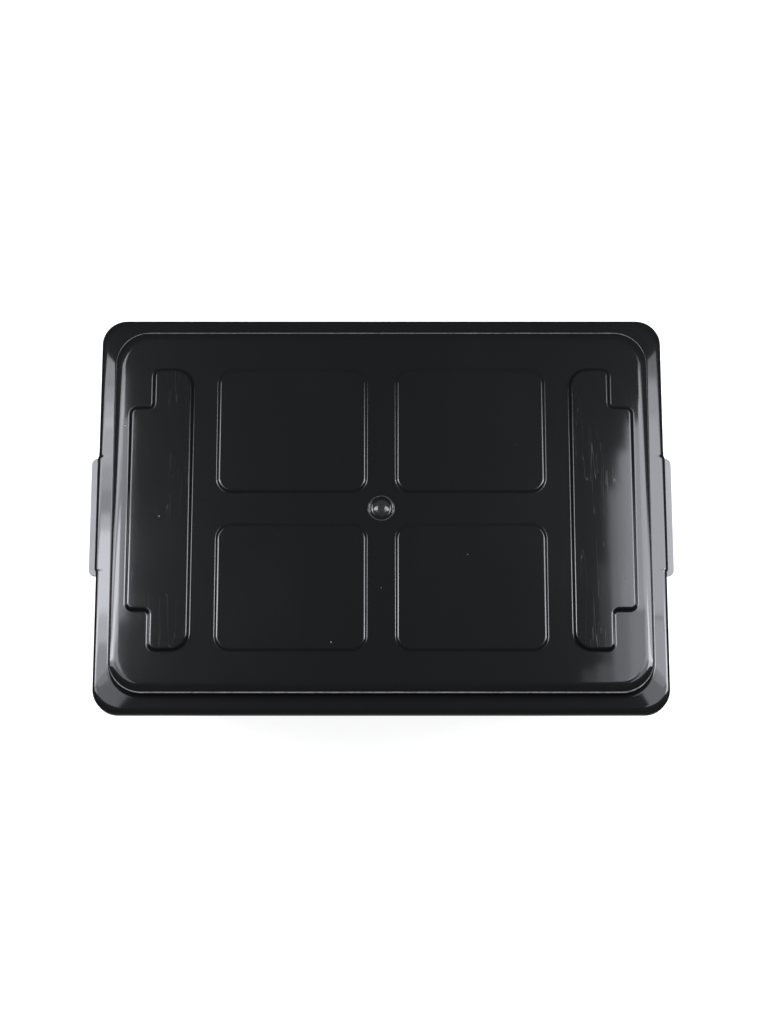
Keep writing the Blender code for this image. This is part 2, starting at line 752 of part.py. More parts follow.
def add_latch_bore(bm):
    reach = LATCH_BARREL_HALF + EMBED
    add_rod(bm, (0, 0, 0), (0, 1, 0), LATCH_PIN_RADIUS + PIN_GAP, -reach, reach)


def latch_matrix(side):
    """Places a latch on its pin: turned to face its end, and hung slightly ajar."""
    turn = Matrix.Identity(4) if side > 0 else Matrix.Rotation(math.pi, 4, "Z")
    ajar = Matrix.Rotation(-LATCH_AJAR, 4, "Y")
    return Matrix.Translation((side * LATCH_X, 0.0, LATCH_Z)) @ turn @ ajar


def make_latch(name, side, material):
    bm = bmesh.new()
    add_latch_barrel(bm)
    latch = make_object(name, bm, material)
    place = latch_matrix(side)
    steps = [
        ("plate", "UNION", add_latch_plate),
        ("hook", "UNION", add_latch_hook),
        ("lip", "UNION", add_latch_lip),
        ("bore", "DIFFERENCE", add_latch_bore),
    ]
    for step_name, operation, build in steps:
        tool = bmesh.new()
        build(tool)
        bmesh.ops.transform(tool, matrix=place, verts=tool.verts)
        combine(latch, name + "_" + step_name, tool, operation)
    latch.matrix_world = place
    return latch


def make_pin(name, centre, direction, radius, half_length, material):
    """A steel pin with a low head at its far end."""
    head_radius = PIN_HEAD[0] * radius
    bm = bmesh.new()
    add_rod(bm, (0, 0, 0), direction, radius, -half_length, half_length + LAP)
    pin = make_object(name, bm, material)
    pin.location = centre
    head = bmesh.new()
    add_rod(head, centre, direction, head_radius, half_length, half_length + PIN_HEAD[1])
    combine(pin, name + "_head", head, "UNION")
    return pin


def build_model():
    for item in list(bpy.data.objects):
        bpy.data.objects.remove(item, do_unlink=True)
    body_plastic = make_material("tote_plastic", (0.36, 0.38, 0.39), 0.42, 0.0)
    lid_plastic = make_material("lid_plastic", (0.010, 0.010, 0.011), 0.22, 0.0)
    latch_plastic = make_material("latch_plastic", (0.36, 0.38, 0.39), 0.42, 0.0)
    steel = make_material("pin_steel", (0.55, 0.56, 0.57), 0.30, 1.0)
    make_tote(body_plastic)
    make_lid(lid_plastic)
    for side_name, station in HINGE_STATIONS.items():
        centre = (station, HINGE_Y, HINGE_Z)
        half = TOTE_KNUCKLE[1] + PIN_GAP
        make_pin("hinge_pin_" + side_name, centre, (1, 0, 0), HINGE_PIN_RADIUS, half, steel)
    for side_name, side in (("left", -1), ("right", 1)):
        make_latch("latch_" + side_name, side, latch_plastic)
        centre = (side * LATCH_X, 0.0, LATCH_Z)
        half = EAR_Y[1] + PIN_GAP
        make_pin("latch_pin_" + side_name, centre, (0, 1, 0), LATCH_PIN_RADIUS, half, steel)


build_model()
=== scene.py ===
"""Attached lid tote, as it looks: a glossy black lid on a light grey tote, seen from above."""
import json
import math

import bmesh
import bpy
from mathutils import Matrix, Vector
from mathutils.geometry import delaunay_2d_cdt


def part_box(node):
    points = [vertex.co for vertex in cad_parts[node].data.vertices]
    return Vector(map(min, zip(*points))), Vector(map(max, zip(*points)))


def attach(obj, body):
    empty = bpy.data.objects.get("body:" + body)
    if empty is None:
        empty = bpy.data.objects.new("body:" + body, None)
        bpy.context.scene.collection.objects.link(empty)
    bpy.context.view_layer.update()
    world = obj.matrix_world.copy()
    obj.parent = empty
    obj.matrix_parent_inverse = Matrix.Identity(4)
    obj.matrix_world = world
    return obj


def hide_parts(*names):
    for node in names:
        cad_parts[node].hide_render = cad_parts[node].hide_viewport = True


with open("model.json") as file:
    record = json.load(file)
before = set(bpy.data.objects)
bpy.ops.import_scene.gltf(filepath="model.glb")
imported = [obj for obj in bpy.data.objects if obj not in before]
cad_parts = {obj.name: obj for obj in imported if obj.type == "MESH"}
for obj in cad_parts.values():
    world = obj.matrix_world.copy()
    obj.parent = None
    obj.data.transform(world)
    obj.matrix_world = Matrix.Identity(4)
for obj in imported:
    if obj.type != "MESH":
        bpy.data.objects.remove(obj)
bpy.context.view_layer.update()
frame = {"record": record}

LID_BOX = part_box("lid")
TOTE_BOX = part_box("tote_body")
LATCH_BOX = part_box("latch_right")
JOINTS = {joint["name"]: joint for joint in frame["record"]["behaviour"]["joints"]}
HINGE = Vector(JOINTS["lid_hinge"]["pos_m"])
LATCH_PIVOT = Vector(JOINTS["latch_right_pivot"]["pos_m"])
LATCH_AJAR = -math.radians(JOINTS["latch_right_pivot"]["range_deg"][0])  # at rest

# Lid dimensions, in metres --------------------------------------------------------------

ISLAND_RISE = 0.0045
HOOD_REACH = 0.0012
PLATEAU_Z = LID_BOX[1].z - ISLAND_RISE
LID_HALF = (LID_BOX[1].x - HOOD_REACH, LID_BOX[1].y)
LID_CORNER = 0.0240
LID_WALL = 0.0025
LID_CORNER_STEPS = 22
SKIRT_Z = PLATEAU_Z - 0.0355
SKIRT_EDGE = 0.0006
RIM_Z = PLATEAU_Z - 0.0197
RIM_CROWN = 0.0002  # how far the rim rises above RIM_Z
RIM_ROLL = 0.0055
FLANGE_Z = PLATEAU_Z - 0.0190
FLANGE_HALF = (0.2588, 0.1777)
FLANGE_CORNER = 0.0330
FLANGE_FILLET = 0.0024
TIER_Z = PLATEAU_Z - 0.0052
TIER_HALF = (0.2581, 0.1769)
TIER_CORNER = 0.0322
TIER_FOOT = (0.0001, 0.0016)  # out from and down from its crisp edge
TIER_LEDGE = (0.0006, 0.0003)  # in from and up from that edge
TIER_SHOULDERS = ((0.0012, 0.0028), (0.0062, 0.0052))
HOLLOW_EASE = 0.0006  # how much thinner the tier's walls are
PLATEAU_HALF = (0.2475, 0.1649)
PLATEAU_CORNER = 0.0260

PANEL_X = (0.0130, 0.1584)
PANEL_Y = (0.0144, 0.1390)
PANEL_CORNER = 0.0153
PANEL_STEPS = 14
PANEL_RISE = 0.0020
PANEL_WALL = (math.radians(38.0), 0.0012, 0.0024)  # slope, foot and head radius
ISLAND_X = (0.1802, 0.2220, 0.2438)
ISLAND_Y = (0.1012, 0.1395)
ISLAND_CORNERS = (0.0190, 0.0085, 0.0028)  # inner, outer and notch
ISLAND_STEPS = 10
ISLAND_WALL = (math.radians(62.0), 0.0018, 0.0020)
RELIEF_STEPS = 6
RING_RADIUS = 0.0126
RING_WIDTH = 0.0014
RING_RISE = 0.0007
RING_STEPS = 56
DOME_RADIUS = 0.0080
DOME_RISE = 0.0024

HOOD_HALF = 0.0580
HOOD_RAMP = 0.0035
HOOD_Z = 0.2870
GATE_HALF = 0.0614
GATE_STEP = 0.0002
MARKS_OVER_LATCH = [0.010, 0.030, 0.045, 0.050]  # extra points along the short sides
MARKS_BEYOND_LATCH = [0.064, 0.075, 0.100, 0.125]

# A pale grey is painted along the tier's crisp edge as a highlight, stronger on front and rear
# than on the short sides.
TIER_HIGHLIGHT_BAND = (0.0005, 0.0010)  # where the full painted highlight ends and none begins, from the edge
SIDE_HIGHLIGHT = 0.2  # the painted highlight's strength on the short sides
FULL_HIGHLIGHT_Y = (0.150, 0.172)  # where its full strength on front and rear begins
RING_PALE_BAND = (0.0001, 0.0005)  # the same, from the ring's ridge
# On the ring's ridge the pale band is partly wear and partly a painted highlight; the dome is
# lightened faintly.
RING_WEAR_AND_HIGHLIGHT = 0.28
DOME_LIGHTENING = 0.05

# Tote dimensions ------------------------------------------------------------------------

MOUTH_Z = TOTE_BOX[1].z
MOUTH_HALF = (0.2580, 0.1780)
MOUTH_CORNER = 0.0300
BASE_HALF = (0.2360, 0.1520)
BASE_CORNER = 0.0260
TOTE_WALL = 0.0030
FLOOR_Z = 0.0080
LIP_HALF = (TOTE_BOX[1].x, 0.1890)
LIP_CORNER = 0.0200
LIP_WALL = 0.0025
LIP_Z = 0.2700
REAR_TRIM_Y = 0.1810
RIM_UNDER_Z = MOUTH_Z - TOTE_WALL
LIP_INNER = tuple(half - LIP_WALL for half in LIP_HALF)
BAND_Z = 0.2440
BAND_DEPTH = 0.0030
BAND_REACH = 0.0045
RIB_WALL = 0.0022
RIB_ROUND = 0.0009
RIB_STATIONS_X = (0.050, 0.100, 0.200)
RIB_STATIONS_Y = (0.085, 0.115)
FOOT_HEIGHT = 0.0050
FOOT_INNER = (0.2235, 0.1410)
FOOT_GATE_Y = 0.1025
FOOT_CORNER = 0.0050
FOOT_CHAMFER = 0.0010
GRIP_Z = 0.2050
GRIP_HALF = (0.0560, 0.0200)
GRIP_DEPTH = 0.0190
GRIP_CORNER = 0.0090
GRIP_FLARE = 0.0025
GRIP_FLOOR_ROUND = 0.0040
LABEL_Z = 0.1450
LABEL_HALF = (0.0600, 0.0310)
LABEL_DEPTH = 0.0008
LABEL_CORNER = 0.0040

# Hinges, latches and pins ---------------------------------------------------------------

HINGE_STATIONS = {"left": -0.1650, "centre": 0.0, "right": 0.1650}
KNUCKLE_RADIUS = 0.0042
LID_KNUCKLE_HALF = 0.0120
TOTE_KNUCKLE = (0.0125, 0.0245)
HINGE_PIN_RADIUS = 0.0020
WEB_OVERLAP = 0.0006  # how far a web runs into the skirt
LATCH_BARREL = 0.0039
LATCH_BARREL_HALF = 0.0515
LATCH_HALF = 0.0592
LATCH_WALL = 0.0026
LATCH_SHOULDER = 0.0062
LATCH_DROP = 0.0150
LATCH_LIP_X = LATCH_BOX[1].x
LIP_TOP_Z = 0.2722
LIP_CORNER_RADIUS = 0.0060
LATCH_PIN_RADIUS = 0.0018
PIN_STEPS = 32
PIN_CHAMFER = 0.0004
PIN_HEAD_HEIGHT = 0.0012
PIN_HEAD_EDGE = 0.0001
PIN_CROWN = (0.0012, 0.0008)  # how far a head is rounded, in and down
EAR_Y = (0.0520, 0.0560)
PIN_GAP = 0.0003
RECESS_X = 0.2638
RECESS_HALF = 0.0610
CATCH_HALF = 0.0450
CATCH_X = 0.2664
CATCH_RISE = (0.0002, 0.0022, 0.0048)  # foot, nose and heel, above LIP_Z

TUBE_EDGE = 0.0004
TUBE_STEPS = 40
PAD_STEPS = 3
EMBED = 0.0010  # how far a fused shape runs into its neighbour
RIM_OVERLAP = 0.0005  # and how far ribs and seats run into the thin rim
CLEAR = 0.0100  # how far a cutting shape runs on past the part
SUPPORT = 0.0004  # a flat strip beside each fillet keeps the flats' shading flat


# Outlines -------------------------------------------------------------------------------


def fillet(points, radii, steps):
    """Round the corners of a closed outline, convex or concave; radius 0 keeps a corner."""
    rounded = []
    count = len(points)
    for index, radius in enumerate(radii):
        corner = Vector(points[index])
        if radius == 0:
            rounded.append(corner)
            continue
        before = (Vector(points[index - 1]) - corner).normalized()
        after = (Vector(points[(index + 1) % count]) - corner).normalized()
        half_angle = before.angle(after) / 2
        centre = corner + (before + after).normalized() * (radius / math.sin(half_angle))
        start = corner + before * (radius / math.tan(half_angle)) - centre
        end = corner + after * (radius / math.tan(half_angle)) - centre
        sweep = start.angle_signed(end)
        for step in range(steps + 1):
            turned = start.copy()
            turned.rotate(Matrix.Rotation(-sweep * step / steps, 2))
            rounded.append(centre + turned)
    return rounded


def shape(points, radii, steps=8):
    """A counter-clockwise outline with rounded corners, as a function of how far it grows."""

    def outline_at(offset=0.0):
        grown_points = []
        grown_radii = []
        count = len(points)
        for index, radius in enumerate(radii):
            corner = Vector(points[index])
            before = (corner - Vector(points[index - 1])).normalized()
            after = (Vector(points[(index + 1) % count]) - corner).normalized()
            out_before = Vector((before.y, -before.x))
            out_after = Vector((after.y, -after.x))
            miter = (out_before + out_after) / (1.0 + out_before.dot(out_after))
            grown_points.append(corner + miter * offset)
            turn = 1.0 if before.cross(after) > 0 else -1.0
            grown_radii.append(max(radius + turn * offset, 1e-5) if radius else 0)
        return fillet(grown_points, grown_radii, steps)

    return outline_at


def rectangle(half, corner, centre=(0.0, 0.0), steps=8):
    signs = ((-1, -1), (1, -1), (1, 1), (-1, 1))
    points = [(centre[0] + sx * half[0], centre[1] + sy * half[1]) for sx, sy in signs]
    return shape(points, [corner] * len(points), steps)


def mirrored(points):
    return [(-x, y) for x, y in reversed(points)]


def smoothstep(low, high, value):
    share = min(max((value - low) / (high - low), 0.0), 1.0)
    return share * share * (3.0 - 2.0 * share)


def marked_outline(half, corner, marks, steps):
    """A rounded rectangle whose short sides also have points at the marked places."""
    outline = []
    for quarter, (sx, sy) in enumerate(((-1, -1), (1, -1), (1, 1), (-1, 1))):
        centre = Vector((sx * (half[0] - corner), sy * (half[1] - corner)))
        first = math.pi + quarter * math.pi / 2
        for step in range(steps + 1):
            angle = first + math.pi / 2 * step / steps
            outline.append(centre + corner * Vector((math.cos(angle), math.sin(angle))))
        if quarter == 1:
            outline.extend(Vector((half[0], mark)) for mark in marks)
        if quarter == 3:
            outline.extend(Vector((-half[0], mark)) for mark in reversed(marks))
    return outline


def row(half, corner, z, inset=0.0, cut=0.0):
    """One ring of a shell, moved inward by inset, and the length its rounding takes."""
    return Vector((half[0] - inset, half[1] - inset, corner - inset, z)), cut


def rounded_path(rows, steps):
    """Rings along a path of rows, as half sizes, corner radius and height."""
    path = [rows[0][0]]
    for (before, _), (knot, cut), (after, _) in zip(rows, rows[1:], rows[2:]):
        entry = knot + (before - knot) * (cut / distance(before, knot))
        leave = knot + (after - knot) * (cut / distance(after, knot))
        for step in range(steps + 1):
            t = step / steps
            path.append(entry * (1 - t) ** 2 + knot * (2 * t * (1 - t)) + leave * t * t)
    path.append(rows[-1][0])
    return path


def distance(a, b):
    """Distance between two rings in the plane of the shell's X and Z."""
    return math.hypot(a.x - b.x, a.w - b.w)


# Meshes ---------------------------------------------------------------------------------


def bridge(bm, lower, upper):
    count = len(lower)
    for index in range(count):
        following = (index + 1) % count
        bm.faces.new((lower[index], lower[following], upper[following], upper[index]))


def add_loops(bm, levels):
    loops = [[bm.verts.new(point) for point in level] for level in levels]
    for lower, upper in zip(loops, loops[1:]):
        bridge(bm, lower, upper)
    return loops


def loft(bm, levels):
    """Join closed outlines, each given as 3-D points, into one capped solid."""
    loops = add_loops(bm, levels)
    bm.faces.new(list(reversed(loops[0])))
    bm.faces.new(loops[-1])


def at_height(outline, z):
    return [Vector((point[0], point[1], z)) for point in outline]


def quarter_round(radius, steps):
    """A rounded edge, as pairs of how far in and how far up it lies."""
    angles = [math.pi / 2 * step / steps for step in range(steps + 1)]
    return [(radius * (1 - math.sin(a)), radius * (1 - math.cos(a))) for a in angles]


def add_pad(bm, outline_at, low, high, edges=(0.0005, 0.0005)):
    """A plate standing on an outline, its rims rounded by the two edge radii."""
    levels = []
    for start, side, edge in ((low, 1, edges[0]), (high, -1, edges[1])):
        rim = quarter_round(edge, PAD_STEPS) if edge else [(0.0, 0.0)]
        rings = [at_height(outline_at(-inward), start + side * up) for inward, up in rim]
        levels.extend(rings if side > 0 else reversed(rings))
    loft(bm, levels)


def along_x():
    """Stands a plate's outline in the YZ plane, its thickness along X."""
    return Matrix(((0, 0, 1), (1, 0, 0), (0, 1, 0))).to_4x4()


def along_y():
    """Stands a plate's outline in the XZ plane, its thickness along -Y."""
    return Matrix(((1, 0, 0), (0, 0, -1), (0, 1, 0))).to_4x4()


def add_placed(bm, build, matrix, *args, **kwargs):
    """Build a shape and place it by a matrix in a mesh that may hold others."""
    part = bmesh.new()
    build(part, *args, **kwargs)
    bmesh.ops.transform(part, matrix=matrix, verts=part.verts)
    mesh = bpy.data.meshes.new("placed")
    part.to_mesh(mesh)
    part.free()
    bm.from_mesh(mesh)
    bpy.data.meshes.remove(mesh)


def turned_levels(profile, steps):
    """A profile of radii and heights, turned about the Z axis."""
    angles = [math.tau * step / steps for step in range(steps)]
    return [
        [(radius * math.cos(angle), radius * math.sin(angle), height) for angle in angles]
        for radius, height in profile
    ]


def add_tube(bm, outer, inner, low, high):
    """A tube about the Z axis with rounded rims."""
    section = [(inner, low), (outer, low), (outer, high), (inner, high)]
    profile = fillet(section, [TUBE_EDGE / 2, TUBE_EDGE, TUBE_EDGE, TUBE_EDGE / 2], 3)
    levels = turned_levels(profile, TUBE_STEPS)
    rings = [[bm.verts.new(point) for point in level] for level in levels]
    for lower, upper in zip(rings, rings[1:] + rings[:1]):
        bridge(bm, lower, upper)


def inside(point, ring):
    """Whether a point lies within a ring of vertices, seen from above."""
    crossings = False
    for index, vert in enumerate(ring):
        a = ring[index - 1].co
        b = vert.co
        if (a.y > point.y) != (b.y > point.y):
            if point.x < (b.x - a.x) * (point.y - a.y) / (b.y - a.y) + a.x:
                crossings = not crossings
    return crossings


def fill_flat(bm, outer, holes):
    """Fill the flat between one outer loop of vertices and the loops of its holes."""
    verts = []
    edges = []
    for ring in (outer, *holes):
        start = len(verts)
        count = len(ring)
        verts.extend(ring)
        edges.extend((start + index, start + (index + 1) % count) for index in range(count))
    flat = [Vector((vert.co.x, vert.co.y)) for vert in verts]
    for face in delaunay_2d_cdt(flat, edges, [], 0, 1e-7)[2]:
        centre = sum((flat[i] for i in face), Vector((0.0, 0.0))) / 3
        if inside(centre, outer) and not any(inside(centre, hole) for hole in holes):
            bm.faces.new([verts[i] for i in face])


def add_object(name, data):
    item = bpy.data.objects.new(name, data)
    bpy.context.scene.collection.objects.link(item)
    return item


def make_object(name, bm):
    bmesh.ops.recalc_face_normals(bm, faces=bm.faces)
    mesh = bpy.data.meshes.new(name)
    bm.to_mesh(mesh)
    bm.free()
    return add_object(name, mesh)


def finish_piece(item, material, body, node, sharp=35.0, weighted=False):
    """Shade a piece, tie it to its body, and hide the node it stands for."""
    mesh = item.data
    mesh.materials.clear()
    mesh.materials.append(material)
    mesh.shade_smooth()
    mesh.set_sharp_from_angle(angle=math.radians(sharp))
    if weighted:
        normals = item.modifiers.new("normals", "WEIGHTED_NORMAL")
        normals.keep_sharp = True
    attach(item, body)
    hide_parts(node)
    return item


def build_solid(name, steps):
    """Fuse and cut solids in turn; the first step is the base shape."""
    item = None
    tools = []
    for operation, build in steps:
        bm = bmesh.new()
        build(bm)
        tool = make_object(name, bm)
        if item is None:
            item = tool
            continue
        modifier = item.modifiers.new(build.__name__, "BOOLEAN")
        modifier.operation = operation
        modifier.object = tool
        modifier.solver = "EXACT"
        tools.append(tool)
    depsgraph = bpy.context.evaluated_depsgraph_get()
    solid = bpy.data.meshes.new_from_object(item.evaluated_get(depsgraph))
    item.modifiers.clear()
    item.data = solid
    for tool in tools:
        bpy.data.objects.remove(tool, do_unlink=True)
    return item


# The lid --------------------------------------------------------------------------------


def relief_levels(outline_at, rise, wall, z):
    """Loops of one raised pad, from the plateau over an S-shaped wall to its flat top."""
    slope, foot, head = wall
    straight = (rise - (foot + head) * (1 - math.cos(slope))) / math.sin(slope)
    curve = [Vector((-SUPPORT, 0.0)), Vector((0.0, 0.0))]
    for step in range(1, RELIEF_STEPS + 1):
        angle = slope * step / RELIEF_STEPS
        curve.append(Vector((foot * math.sin(angle), foot * (1 - math.cos(angle)))))
    run = (foot + head) * math.sin(slope) + straight * math.cos(slope)
    for step in range(RELIEF_STEPS + 1):
        angle = slope * (RELIEF_STEPS - step) / RELIEF_STEPS
        across = run - head * math.sin(angle)
        curve.append(Vector((across, rise - head * (1 - math.cos(angle)))))
    curve.append(Vector((run + SUPPORT, rise)))
    return [at_height(outline_at(-offset), z + height) for offset, height in curve]


def panel_outlines():
    half = ((PANEL_X[1] - PANEL_X[0]) / 2, (PANEL_Y[1] - PANEL_Y[0]) / 2)
    x = sum(PANEL_X) / 2
    y = sum(PANEL_Y) / 2
    centres = [(sx * x, sy * y) for sx in (-1, 1) for sy in (-1, 1)]
    return [rectangle(half, PANEL_CORNER, centre, PANEL_STEPS) for centre in centres]


def island_outlines():
    """The stepped island at each end; its outer side is stepped out in the middle."""
    inner, lobe, step = ISLAND_X
    near, far = ISLAND_Y
    points = [
        (inner, -far), (lobe, -far), (lobe, -near), (step, -near),
        (step, near), (lobe, near), (lobe, far), (inner, far),
    ]
    inner_corner, convex, concave = ISLAND_CORNERS
    radii = [inner_corner, convex, concave, convex, convex, concave, convex, inner_corner]
    right = shape(points, radii, ISLAND_STEPS)
    left = shape(mirrored(points), radii[::-1], ISLAND_STEPS)
    return [right, left]


def shrunk(outline_at, amount):
    return lambda offset: outline_at(offset - amount)


def add_relief(bm, outline_at, rise, wall, z):
    loops = add_loops(bm, relief_levels(outline_at, rise, wall, z))
    bm.faces.new(loops[-1])
    return loops[0]


def gate_ring_profile():
    """The middle ring and its dome, as (radius, height) from the plateau inward."""
    profile = [(RING_RADIUS + SUPPORT, 0.0)]
    for step in range(11):
        t = step / 10
        profile.append((RING_RADIUS - RING_WIDTH * t, RING_RISE * math.sin(math.pi * t) ** 2))
    profile.append((DOME_RADIUS + SUPPORT, 0.0))
    for step in range(1, 10):
        angle = math.pi / 2 * step / 10
        profile.append((DOME_RADIUS * math.cos(angle), DOME_RISE * math.sin(angle)))
    return profile


def add_gate_ring(bm, z):
    profile = [(radius, z + height) for radius, height in gate_ring_profile()]
    loops = add_loops(bm, turned_levels(profile, RING_STEPS))
    bm.faces.new(loops[-1])
    # A pale band on the ring's ridge, partly wear and partly a painted highlight, and a faint
    # lightening over the dome.
    wear_highlight_layer = bm.verts.layers.float["wear_and_painted_highlight"]
    for loop, (radius, _) in zip(loops, profile):
        from_ridge = abs(radius - RING_RADIUS + RING_WIDTH / 2)
        pale_share = RING_WEAR_AND_HIGHLIGHT * (1.0 - smoothstep(*RING_PALE_BAND, from_ridge))
        if radius < DOME_RADIUS:
            pale_share += DOME_LIGHTENING
        for vert in loop:
            vert[wear_highlight_layer] = pale_share
    return loops[0]


def lid_marks():
    """Places along the short sides where the hood and the latch gate begin and end."""
    ramp = [HOOD_HALF - HOOD_RAMP + HOOD_RAMP * step / 8 for step in range(-1, 10)]
    gate = [GATE_HALF - GATE_STEP, GATE_HALF + GATE_STEP]
    half = MARKS_OVER_LATCH + ramp + gate + MARKS_BEYOND_LATCH
    return [-mark for mark in reversed(half)] + [0.0] + half


def hooded(points):
    """Push the rim out a little over each latch."""
    for point in points:
        rim = smoothstep(FLANGE_HALF[0] + FLANGE_FILLET, LID_HALF[0] - RIM_ROLL, abs(point.x))
        over_latch = 1.0 - smoothstep(HOOD_HALF - HOOD_RAMP, HOOD_HALF, abs(point.y))
        point.x += math.copysign(HOOD_REACH * rim * over_latch, point.x)
    return points


def gated(points):
    """Lift the skirt's edge where the latches swing."""
    for point in points:
        if abs(point.x) > FLANGE_HALF[0] and abs(point.y) < GATE_HALF:
            point.z = max(point.z, HOOD_Z)
    return points


def lid_rows():
    """Rings of the lid's shell, from its hollow, round the skirt's edge, to the plateau."""
    wall = LID_WALL
    eased = LID_WALL - HOLLOW_EASE
    foot_out, foot_down = TIER_FOOT
    ledge_in, ledge_up = TIER_LEDGE
    (low_in, low_up), (high_in, high_up) = TIER_SHOULDERS
    outer = [
        row(LID_HALF, LID_CORNER, SKIRT_Z, wall / 2),
        row(LID_HALF, LID_CORNER, SKIRT_Z, cut=SKIRT_EDGE),
        row(LID_HALF, LID_CORNER, RIM_Z + RIM_CROWN, cut=RIM_ROLL),
        row(FLANGE_HALF, FLANGE_CORNER, FLANGE_Z, cut=FLANGE_FILLET),
        row(TIER_HALF, TIER_CORNER, TIER_Z - foot_down, -foot_out, cut=0.0002),
        row(TIER_HALF, TIER_CORNER, TIER_Z, cut=0.0003),
        row(TIER_HALF, TIER_CORNER, TIER_Z + ledge_up, ledge_in, cut=0.0003),
        row(TIER_HALF, TIER_CORNER, TIER_Z + low_up, low_in, cut=0.0010),
        row(TIER_HALF, TIER_CORNER, TIER_Z + high_up, high_in, cut=0.0024),
        row(PLATEAU_HALF, PLATEAU_CORNER, PLATEAU_Z, cut=0.0002),
        row(PLATEAU_HALF, PLATEAU_CORNER, PLATEAU_Z, 2 * SUPPORT),
    ]
    inner = [
        row(PLATEAU_HALF, PLATEAU_CORNER, PLATEAU_Z - wall, SUPPORT + wall / 2),
        row(TIER_HALF, TIER_CORNER, PLATEAU_Z - wall, high_in + wall / 2, cut=0.0030),
        row(TIER_HALF, TIER_CORNER, TIER_Z - wall, ledge_in + wall / 2, cut=0.0010),
        row(TIER_HALF, TIER_CORNER, TIER_Z - wall, eased, cut=0.0004),
        row(FLANGE_HALF, FLANGE_CORNER, FLANGE_Z - wall, eased, cut=0.0016),
        row(LID_HALF, LID_CORNER, RIM_Z - wall, wall, cut=0.0014),
        row(LID_HALF, LID_CORNER, SKIRT_Z, wall, cut=SKIRT_EDGE),
        row(LID_HALF, LID_CORNER, SKIRT_Z, wall / 2 + 0.0002),
    ]
    return rounded_path(inner, 4) + rounded_path(outer, 7)


def tier_highlight_of(ring):
    """How strongly a ring of the lid is painted with a highlight: only along the crisp edge of
    the tier.
    """
    reach = max(abs(ring.x - TIER_HALF[0]), abs(ring.w - TIER_Z))
    return 1.0 - smoothstep(*TIER_HIGHLIGHT_BAND, reach)


def make_lid(material):
    bm = bmesh.new()
    wear_highlight_layer = bm.verts.layers.float.new("wear_and_painted_highlight")
    marks = lid_marks()
    rows = lid_rows()
    levels = []
    for ring in rows:
        outline = marked_outline((ring.x, ring.y), ring.z, marks, LID_CORNER_STEPS)
        levels.append(gated(hooded(at_height(outline, ring.w))))
    loops = add_loops(bm, levels)
    # Paint a highlight along the tier's crisp edge, weaker on the short sides.
    for loop, ring in list(zip(loops, rows))[len(loops) // 2:]:
        for vert in loop:
            along = smoothstep(*FULL_HIGHLIGHT_Y, abs(vert.co.y))
            vert[wear_highlight_layer] = tier_highlight_of(ring) * (SIDE_HIGHLIGHT + (1.0 - SIDE_HIGHLIGHT) * along)
    pads = [(outline, PANEL_RISE, PANEL_WALL) for outline in panel_outlines()]
    pads += [(outline, ISLAND_RISE, ISLAND_WALL) for outline in island_outlines()]
    top = (PLATEAU_Z, 0.0, loops[-1])
    underside = (PLATEAU_Z - LID_WALL, LID_WALL / 2, loops[0])
    for z, inset, loop in (top, underside):
        holes = []
        for outline, rise, wall in pads:
            holes.append(add_relief(bm, shrunk(outline, inset), rise, wall, z))
        if inset == 0:
            holes.append(add_gate_ring(bm, z))
        fill_flat(bm, loop, holes)
    lid = make_object("lid_shell", bm)
    return finish_piece(lid, material, "lid", "lid", sharp=50.0)


def add_lid_web(bm, station):
    """The web that ties one of the lid's hinge barrels to its rear skirt."""
    outer = LID_HALF[1] - LID_WALL + WEB_OVERLAP
    y, z = HINGE.y, HINGE.z
    points = [
        (y + 0.0026, z - 0.0012), (outer, z - 0.0012), (outer, RIM_Z - LID_WALL),
        (y + 0.0008, z + 0.0090), (y + 0.0004, z + 0.0034), (y + 0.0027, z + 0.0014),
    ]
    web = shape(points, [0, 0, 0, 0.0006, 0, 0], 4)
    place = Matrix.Translation((station, 0.0, 0.0)) @ along_x()
    add_placed(bm, add_pad, place, web, -LID_KNUCKLE_HALF, LID_KNUCKLE_HALF)


def add_knuckle(bm, station, low, high):
    """A hinge barrel about the hinge's axis, between two places along it."""
    place = Matrix.Translation((station, HINGE.y, HINGE.z)) @ along_x()
    add_placed(bm, add_tube, place, KNUCKLE_RADIUS, HINGE_PIN_RADIUS + PIN_GAP, low, high)


def make_lid_knuckle(name, station, material):
    def add_web(bm):
        add_lid_web(bm, station)

    def add_barrel(bm):
        add_knuckle(bm, station, -LID_KNUCKLE_HALF, LID_KNUCKLE_HALF)

    knuckle = build_solid(name, [("BASE", add_barrel), ("UNION", add_web)])
    return finish_piece(knuckle, material, "lid", "lid", weighted=True)


def make_ear(name, side, end, material):
    """An ear under the flange that holds one end of a latch pin."""
    near, far = sorted(end * y for y in EAR_Y)
    place = Matrix.Translation((side * LATCH_PIVOT.x, 0.0, LATCH_PIVOT.z))
    inner = -LATCH_BARREL
    outer = LATCH_BARREL - 0.0008
    top_z = RIM_Z - LID_WALL + 0.0004 - LATCH_PIVOT.z
    points = [
        (-0.0032, 0.0022), (0.0030, 0.0022), (outer, 0.0040), (outer, top_z),
        (inner, top_z + EMBED), (inner, 0.0040),
    ]
    if side < 0:
        points = mirrored(points)
    plate = shape(points, [0] * len(points))
    upright = place @ along_y()
    bore = LATCH_PIN_RADIUS + PIN_GAP

    def add_eye(bm):
        add_placed(bm, add_tube, upright, LATCH_BARREL, bore, -far, -near)

    def add_plate(bm):
        add_placed(bm, add_pad, upright, plate, -far, -near, (0.0003, 0.0003))

    ear = build_solid(name, [("BASE", add_eye), ("UNION", add_plate)])
    return finish_piece(ear, material, "lid", "lid", weighted=True)


# The tote -------------------------------------------------------------------------------


